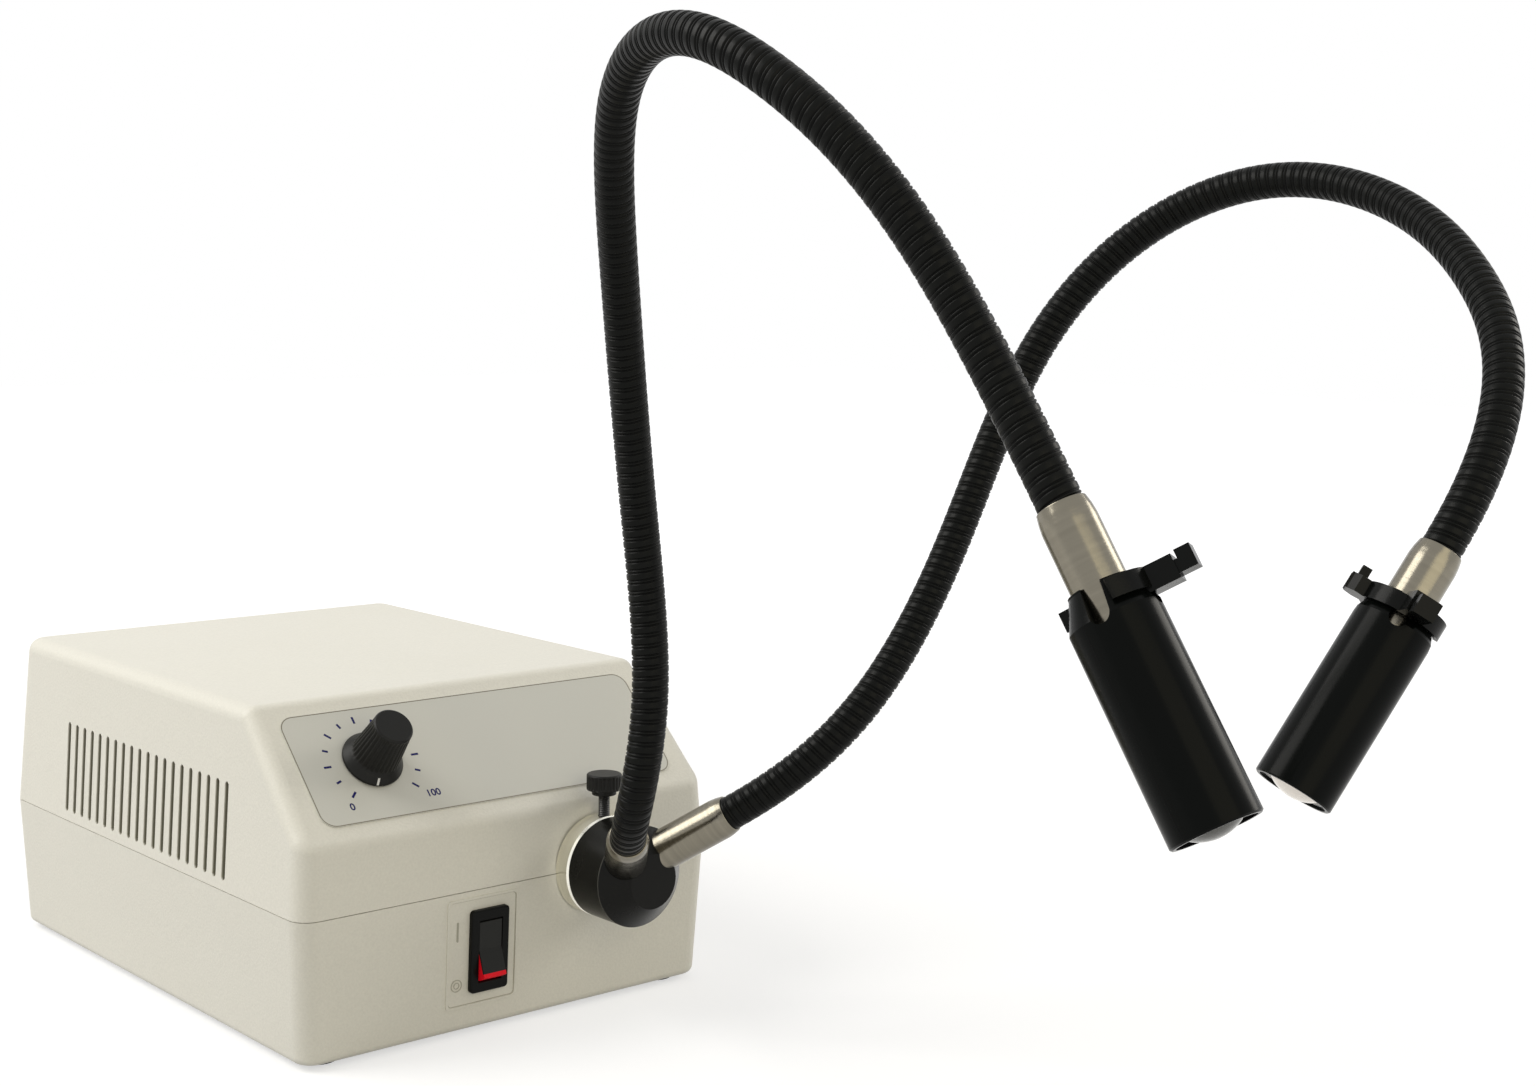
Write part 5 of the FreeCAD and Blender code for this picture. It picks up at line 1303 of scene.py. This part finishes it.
@dataclass(frozen=True)
class LightPort:
    """The receptacle on the front wall with its thumbscrew."""

    x: float = 37.0
    y: float = -124.0
    z: float = 58.4
    lock_setback: float = 4.4
    head_rise: float = 28.2
    head_radius: float = 6.9
    head_height: float = 6.4
    step_radius: float = 4.8
    step_height: float = 2.0
    shank_radius: float = 2.35
    shank_low: float = 12.8
    shank_gap: float = 0.1
    core: float = 1.0
    rim_run: float = 1.6
    rim_chamfer: float = 0.5
    wall_inset: float = 0.9
    wall_rows: int = 14
    low_softness: float = 0.4
    high_softness: float = 0.35
    steps_per_flute: int = 8
    shank_segments: int = 40
    sharp: float = 50.0
    flutes: int = 26
    flute_depth: float = 0.38
    flute_inset: tuple[float, float] = (0.4, 0.6)
    flute_fades: tuple[float, float] = (0.6, 0.6)
    pitch: float = 0.8
    thread_depth: float = 0.34
    rows_per_turn: int = 10

    def along(self, distance: float) -> Array:
        """A point on the port's axis, by its distance out from the front wall."""
        return np.array([self.x, self.y - distance, self.z])

    def build(self) -> None:
        """The thumbscrew's fluted head and threaded shank."""
        foot = self.along(self.lock_setback)
        top = self.step_height + self.head_height
        rim, step = self.head_radius, self.step_height
        rise = np.linspace(step + self.wall_inset, top - self.wall_inset, self.wall_rows)
        low = soften(np.array([
            (self.core, 0), (self.step_radius, 0), (self.step_radius, step), (rim, step),
            (rim, step + self.rim_run)]), self.low_softness)
        high = soften(np.array([
            (rim, top - self.rim_run), (rim, top - self.rim_chamfer), (rim - self.rim_chamfer, top),
            (self.core, top)]), self.high_softness)
        profile = np.vstack([low[:-1], np.stack([rise * 0 + rim, rise], axis=-1), high[1:]])
        flutes = fluting(
            self.flutes, self.flute_depth, step + self.flute_inset[0], top - self.flute_inset[1],
            self.flute_fades)
        seat = Seat(foot + Z * self.head_rise, Z, X)
        points, faces, uv = turned(seat, profile, self.flutes * self.steps_per_flute, ripple=flutes)
        head = add_piece("thumbscrew_knurl", points, faces, KNOB_BLACK, sharp=self.sharp, uv=uv)
        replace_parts(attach(head, "lock_handle"), "thumbscrew_head")
        length = self.head_rise - self.shank_low - self.shank_gap
        rows = np.linspace(0, length, int(length / self.pitch * self.rows_per_turn))

        def thread(angle: Array, along: Array) -> Array:
            """A V thread: depth times the distance from the middle of the turn."""
            phase = (along / self.pitch - angle / (2 * math.pi)) % 1
            return -self.thread_depth * np.abs(phase * 2 - 1)

        shank_seat = Seat(foot + Z * self.shank_low, Z, X)
        profile = np.stack([rows * 0 + self.shank_radius, rows], axis=-1)
        points, faces, uv = turned(shank_seat, profile, self.shank_segments, ripple=thread)
        shank = add_piece("thumbscrew_thread", points, faces, SCREW_BLACK, uv=uv)
        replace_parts(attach(shank, "lock_screw"), "thumbscrew_shank")


@dataclass(frozen=True)
class Line:
    """A smooth line through space, known at many even places."""

    points: Array
    reach: Array

    @classmethod
    def through(cls, poles: Array, samples: int = 6000) -> Line:
        """A clamped uniform cubic B-spline by its poles, from its basis functions.

        Args:
            poles: (n, 3) control points.
            samples: places at which it is worked out.

        Returns:
            The line with the length up to each place.
        """
        count, degree = len(poles), 3
        knots = np.concatenate([np.zeros(degree), np.linspace(0, 1, count - degree + 1), np.ones(degree)])
        t = np.linspace(0, 1 - 1e-9, samples)[:, None]
        basis = ((t >= knots[None, :-1]) & (t < knots[None, 1:])).astype(float)
        for step in range(1, degree + 1):
            left, right = knots[:-step - 1], knots[step + 1:]
            run_a, run_b = knots[step:-1] - left, right - knots[1:-step]
            up = np.where(run_a > 0, (t - left) / np.where(run_a > 0, run_a, 1), 0)
            down = np.where(run_b > 0, (right - t) / np.where(run_b > 0, run_b, 1), 0)
            basis = up * basis[:, :-1] + down * basis[:, 1:]
        points = basis @ poles
        steps = np.linalg.norm(np.diff(points, axis=0), axis=1)
        return cls(points, np.concatenate([[0.0], np.cumsum(steps)]))

    @property
    def length(self) -> float:
        """The whole length in millimetres."""
        return float(self.reach[-1])

    def at(self, along: Array) -> Array:
        """Places at distances, on straight leads beyond both ends.

        Args:
            along: distances from the line's start in millimetres.

        Returns:
            (n, 3) points.
        """
        along = np.atleast_1d(np.asarray(along, float))
        inside = np.clip(along, 0, self.length)
        found = np.stack([np.interp(inside, self.reach, self.points[:, k]) for k in range(3)], axis=-1)
        return found + self.heading(along) * (along - inside)[:, None]

    def heading(self, along: Array) -> Array:
        """Directions of travel at distances.

        Args:
            along: distances from the line's start in millimetres.

        Returns:
            (n, 3) unit directions.
        """
        along = np.clip(np.atleast_1d(np.asarray(along, float)), 0, self.length)
        slope = np.gradient(self.points, self.reach, axis=0)
        return unit(np.stack([np.interp(along, self.reach, slope[:, k]) for k in range(3)], axis=-1))


@dataclass(frozen=True)
class Arm:
    """One branch of the light guide: base ferrule, gooseneck, end ferrule and lens head."""

    number: int
    side: Side
    lead: float
    pole_shares: tuple[tuple[float, float, float], ...]
    span: float = 560.0
    crossing: float = 17.5
    branch_angle: float = 45.0
    branch_spread: float = 44.0
    hub_roll: float = 2.5
    branch_seat: float = 17.2
    ferrule_reach: float = 50.1
    ferrule_radius: float = 8.0
    lip_radius: float = 7.2
    bore: float = 4.4
    socket_gap: float = 0.05
    socket_depth: float = 5.0
    ferrule_segments: int = 96
    mouth_softness: float = 0.6
    base_taper: float = 4.6
    end_length: float = 52.0
    end_taper: float = 5.5
    hose_radius: float = 6.6
    groove: float = 0.46
    groove_power: int = 40
    groove_offset: float = 0.15
    crown: float = 0.03
    pitch: float = 3.92
    rows_per_pitch: int = 24
    hose_segments: int = 48
    hose_sharp: float = 80.0
    tuck: float = 4.9
    lower_bend: float = 0.13
    upper_bend: float = 0.87
    bend_reach: float = 20.0
    lens: Finish = LENS
    retainer: Finish = ZINC

    def heading(self) -> Array:
        """The direction in which this branch leaves the hub.

        Returns:
            A unit direction.
        """
        azimuth = math.radians(90 + self.hub_roll - self.side.value * self.branch_spread)
        lean = math.radians(self.branch_angle)
        across = X * math.cos(azimuth) + Z * math.sin(azimuth)
        return -Y * math.cos(lean) + across * math.sin(lean)

    def line(self, port: LightPort) -> Line:
        """The centre line of the gooseneck, from the mouth of its base ferrule.

        Args:
            port: the light port, whose axis the branch crosses.

        Returns:
            The centre line.
        """
        way = self.heading()
        start = port.along(self.crossing) + way * self.ferrule_reach
        shares = np.array(self.pole_shares) * self.span + start
        return Line.through(np.vstack([start, start + way * self.lead, shares]))

    def ferrule(self, low: float, high: float, taper: float) -> Array:
        """The closed outline of a ferrule, with its rounded mouth at the high end.

        Args:
            low: where it starts along its axis.
            high: where its mouth is.
            taper: the length over which it narrows to the mouth.

        Returns:
            (n, 2) radius and distance.
        """
        socket = self.hose_radius + self.socket_gap
        step = (self.ferrule_radius - self.lip_radius) / 3
        outer = soften(np.array([
            (self.bore, low), (self.ferrule_radius, low), (self.ferrule_radius, high - taper),
            (self.ferrule_radius - step, high - taper / 2), (self.lip_radius, high),
            (socket, high)]), self.mouth_softness)
        floor = high - self.socket_depth
        return np.vstack([outer, [(socket, floor), (self.bore, floor)]])

    def build(self, port: LightPort) -> None:
        """Both ferrules and the two pieces of the gooseneck.

        Args:
            port: the light port that the arm starts from.
        """
        line = self.line(port)
        number = str(self.number)
        seat = Seat(port.along(self.crossing), self.heading(), X)
        outline = self.ferrule(self.branch_seat, self.ferrule_reach, self.base_taper)
        points, faces, uv = turned(seat, outline, self.ferrule_segments, looped=True)
        base = add_piece("ferrule_base_" + number, points, faces, SATIN_NICKEL, uv=uv)
        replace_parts(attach(base, "light_guide"), "base_ferrule_" + number)
        end_seat = Seat(line.at(line.length)[0], -line.heading(line.length)[0], X)
        outline = self.ferrule(-self.end_length, 0.0, self.end_taper)
        points, faces, uv = turned(end_seat, outline, self.ferrule_segments, looped=True)
        end = add_piece("ferrule_end_" + number, points, faces, SATIN_NICKEL, uv=uv)
        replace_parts(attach(end, "head_" + number), "end_ferrule_" + number)
        self.build_hose(line)

    def build_hose(self, line: Line) -> None:
        """The gooseneck in two pieces, split near the middle of its length.

        Args:
            line: the gooseneck's centre line.
        """
        middle = round(line.length / 2 / self.pitch) * self.pitch
        number = str(self.number)
        arm = "arm_" + number
        lower = self.hose("hose_lower_" + number, line, -self.tuck, middle)
        upper = self.hose("hose_upper_" + number, line, middle, line.length + self.tuck)
        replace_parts(lower, "gooseneck_lower_" + number, "gooseneck_middle_" + number)
        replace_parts(upper, "gooseneck_upper_" + number)
        for piece, first, second, share in ((lower, "light_guide", arm, self.lower_bend),
                                            (upper, arm, "head_" + number, self.upper_bend)):
            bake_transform(piece)

    def hose(self, name: str, line: Line, low: float, high: float) -> bpy.types.Object:
        """A hose wound of a wide and a narrow wire, between two places on the line.

        Point (angle, s) is line(s) + r (cos angle side + sin angle top). The phase is s / pitch -
        angle / full turn. From the hose's radius, r loses a crown times cos^2 of half the phase and
        a groove's depth times high powers of that cosine, one ahead of the narrow wire and one after.

        Args:
            name: the piece's name.
            line: the centre line.
            low: where it starts, in millimetres along the line.
            high: where it ends.

        Returns:
            The new piece.
        """
        rows = np.linspace(low, high, int((high - low) / self.pitch * self.rows_per_pitch) + 1)
        angle = np.arange(self.hose_segments) / self.hose_segments * 2 * math.pi
        way = line.heading(rows)
        side = unit(X - way * (way @ X)[:, None])
        top = np.cross(way, side)
        phase = rows[:, None] / self.pitch - angle[None, :] / (2 * math.pi)
        cut = sum(np.cos(math.pi * (phase + shift)) ** self.groove_power
                  for shift in (-self.groove_offset, self.groove_offset))
        radius = self.hose_radius - self.groove * cut - self.crown * np.cos(math.pi * phase) ** 2
        around = side[:, None] * np.cos(angle)[None, :, None] + top[:, None] * np.sin(angle)[None, :, None]
        points = line.at(rows)[:, None] + around * radius[..., None]
        points = np.concatenate([points.reshape(-1, 3), line.at([low, high])]) * MM
        rib = np.concatenate([(1 - cut).ravel(), [0.0, 0.0]])
        faces = ring_faces(len(rows), self.hose_segments, False)
        return add_piece(name, points, faces, HOSE, sharp=self.hose_sharp, rib=rib)

    def finishes(self) -> dict[str, Finish]:
        """The finishes of this arm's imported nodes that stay."""
        finishes = {**ARM_FINISHES, "focusing_lens": self.lens, "lens_retainer": self.retainer}
        return {name + "_" + str(self.number): finish for name, finish in finishes.items()}


# The two heads are the same part; the first head's darker lens and black retainer are painted shade, and the
# second head's bright lens is painted light.
ARMS = (
    Arm(1, Side.LEFT, 28.0, (
        (-0.005, -0.040, 0.090), (-0.015, -0.025, 0.225), (-0.050, -0.050, 0.375), (-0.105, -0.110, 0.475),
        (-0.140, -0.205, 0.505), (-0.145, -0.290, 0.475), (-0.115, -0.355, 0.415), (-0.090, -0.395, 0.335),
        (-0.085, -0.440, 0.265)), lens=SHADED_LENS, retainer=GLOSS_BLACK),
    Arm(2, Side.RIGHT, 41.0, (
        (0.100, -0.065, 0.105), (0.160, -0.065, 0.210), (0.210, -0.070, 0.320), (0.260, -0.115, 0.400),
        (0.295, -0.195, 0.440), (0.290, -0.295, 0.430), (0.245, -0.405, 0.380), (0.180, -0.475, 0.300),
        (0.130, -0.455, 0.220))))


@dataclass(frozen=True)
class Studio:
    """A white floor, plain soft light and the camera."""

    camera_place: tuple[float, float, float] = (-485.97, -816.88, 293.2)
    right: tuple[float, float, float] = (0.7517, -0.6594, 0.0158)
    up: tuple[float, float, float] = (0.0691, 0.1025, 0.9923)
    lens: float = 52.77
    sensor_width: float = 36.0
    clip: tuple[float, float] = (0.01, 50.0)
    target: tuple[float, float, float] = (0.0, -0.16, 0.14)
    ambient: float = 0.46
    lamps: tuple[tuple[str, tuple[float, float, float], float, float, Colour], ...] = (
        ("key", (-1.22, 0.72, 1.46), 1.3, 27.5, (1.0, 0.98, 0.935)),
        ("fill", (-0.35, -1.9, 0.75), 1.4, 6.8, (1.0, 0.90, 0.60)),
        ("right", (1.6, -0.80, 0.89), 0.7, 8.0, (1.0, 0.96, 0.88)))
    floor_half: float = 4.0
    floor_fade: tuple[float, float] = (0.45, 1.3)
    floor_greys: tuple[float, float] = (0.50, 0.24)
    floor_glow: tuple[float, float] = (0.58, 1.0)

    def build(self) -> None:
        """Camera, lights, world and floor."""
        self.build_camera()
        for lamp in self.lamps:
            self.add_light(*lamp)
        self.build_world()
        self.build_floor()
        bpy.context.scene.view_settings.view_transform = "Standard"

    def build_camera(self) -> None:
        """The camera at the photograph's place and angle."""
        data = bpy.data.cameras.new("camera")
        data.sensor_width = self.sensor_width
        data.sensor_fit = "HORIZONTAL"
        data.lens = self.lens
        camera = bpy.data.objects.new("camera", data)
        bpy.context.scene.collection.objects.link(camera)
        right = unit(np.array(self.right))
        up = unit(np.array(self.up) - (np.array(self.up) @ right) * right)
        turn = np.eye(4)
        turn[:3, 0], turn[:3, 1], turn[:3, 2] = right, up, np.cross(right, up)
        turn[:3, 3] = np.array(self.camera_place) * MM
        camera.matrix_world = Matrix(turn.tolist())
        data.clip_start, data.clip_end = self.clip
        bpy.context.scene.camera = camera

    def add_light(self, name: str, place: tuple[float, float, float], size: float, power: float,
                  colour: Colour) -> None:
        """A square soft box that looks at the object.

        Args:
            name: the lamp's name.
            place: where it stands, in metres.
            size: the side of its square, in metres.
            power: its power in watts.
            colour: its colour.
        """
        data = bpy.data.lights.new(name, "AREA")
        data.shape = "SQUARE"
        data.size, data.energy, data.color = size, power, colour
        lamp = bpy.data.objects.new(name, data)
        bpy.context.scene.collection.objects.link(lamp)
        back = unit(np.array(place) - np.array(self.target))
        side = unit(np.cross(Z, back))
        turn = np.eye(4)
        turn[:3, 0], turn[:3, 1], turn[:3, 2], turn[:3, 3] = side, np.cross(back, side), back, place
        lamp.matrix_world = Matrix(turn.tolist())

    def seen(self, graph: Graph) -> Socket:
        """One for rays from the camera and rays that mirror or pass through, zero for the rest.

        Args:
            graph: the nodes of a world or a material.

        Returns:
            The mask.
        """
        path = graph.add("ShaderNodeLightPath")
        mirrored = graph.math("MAXIMUM", path.outputs["Is Glossy Ray"], path.outputs["Is Transmission Ray"])
        return graph.math("MAXIMUM", path.outputs["Is Camera Ray"], mirrored)

    def build_world(self) -> None:
        """White to the eye, a plainer level as light."""
        world = bpy.data.worlds.new("studio")
        world.use_nodes = True
        graph = Graph(world.node_tree)
        shader = world.node_tree.nodes["Background"]
        graph.feed(shader.inputs["Color"], (1.0, 1.0, 1.0, 1.0))
        graph.feed(shader.inputs["Strength"], graph.spread(self.seen(graph), self.ambient, 1.0))
        bpy.context.scene.world = world

    def build_floor(self) -> None:
        """A wide white floor that keeps the shadow near the object and fades to plain white."""
        corners = np.array([(-1, -1, 0), (1, -1, 0), (1, 1, 0), (-1, 1, 0)]) * self.floor_half
        mesh = bpy.data.meshes.new("floor")
        mesh.from_pydata(corners.tolist(), [], [[0, 1, 2, 3]])
        floor = bpy.data.objects.new("floor", mesh)
        bpy.context.scene.collection.objects.link(floor)
        made = bpy.data.materials.new("floor_white")
        made.use_nodes = True
        graph = Graph(made.node_tree)
        made.node_tree.nodes.remove(made.node_tree.nodes["Principled BSDF"])
        away = graph.add("ShaderNodeVectorMath", operation="LENGTH")
        graph.feed(away.inputs[0], graph.place())
        far = graph.add("ShaderNodeMapRange", interpolation_type="SMOOTHSTEP")
        graph.feed(far.inputs["Value"], away.outputs["Value"])
        for label, value in zip(("From Min", "From Max"), self.floor_fade):
            graph.feed(far.inputs[label], value)
        near_grey, far_grey = ((grey,) * 3 for grey in self.floor_greys)
        matt = graph.add("ShaderNodeBsdfDiffuse")
        graph.feed(matt.inputs["Color"], graph.blend(far.outputs[0], near_grey, far_grey))
        lit = graph.add("ShaderNodeEmission")
        glow = graph.spread(far.outputs[0], *self.floor_glow)
        graph.feed(lit.inputs["Strength"], graph.math("MULTIPLY", self.seen(graph), glow))
        both = graph.add("ShaderNodeAddShader")
        graph.feed(both.inputs[0], matt.outputs[0])
        graph.feed(both.inputs[1], lit.outputs[0])
        target = made.node_tree.nodes["Material Output"]
        graph.feed(target.inputs["Surface"], both.outputs[0])
        mesh.materials.append(made)


def main() -> None:
    """Build the sub-assemblies in order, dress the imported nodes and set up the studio."""
    logging.basicConfig(level=logging.INFO, format="%(name)s: %(message)s", stream=sys.stdout)
    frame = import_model()
    housing, panel, switch, port = Housing(), ControlPanel(), PowerSwitch(), LightPort()
    housing.build()
    panel.build()
    port.build()
    dress(frame, NODE_FINISHES)
    dress(frame, {"rocker_paddle": switch.rocker_finish(housing.wall_seat(switch.x, switch.z))})
    for arm in ARMS:
        arm.build(port)
        dress(frame, arm.finishes())
    Studio().build()


if __name__ == "__main__":
    main()
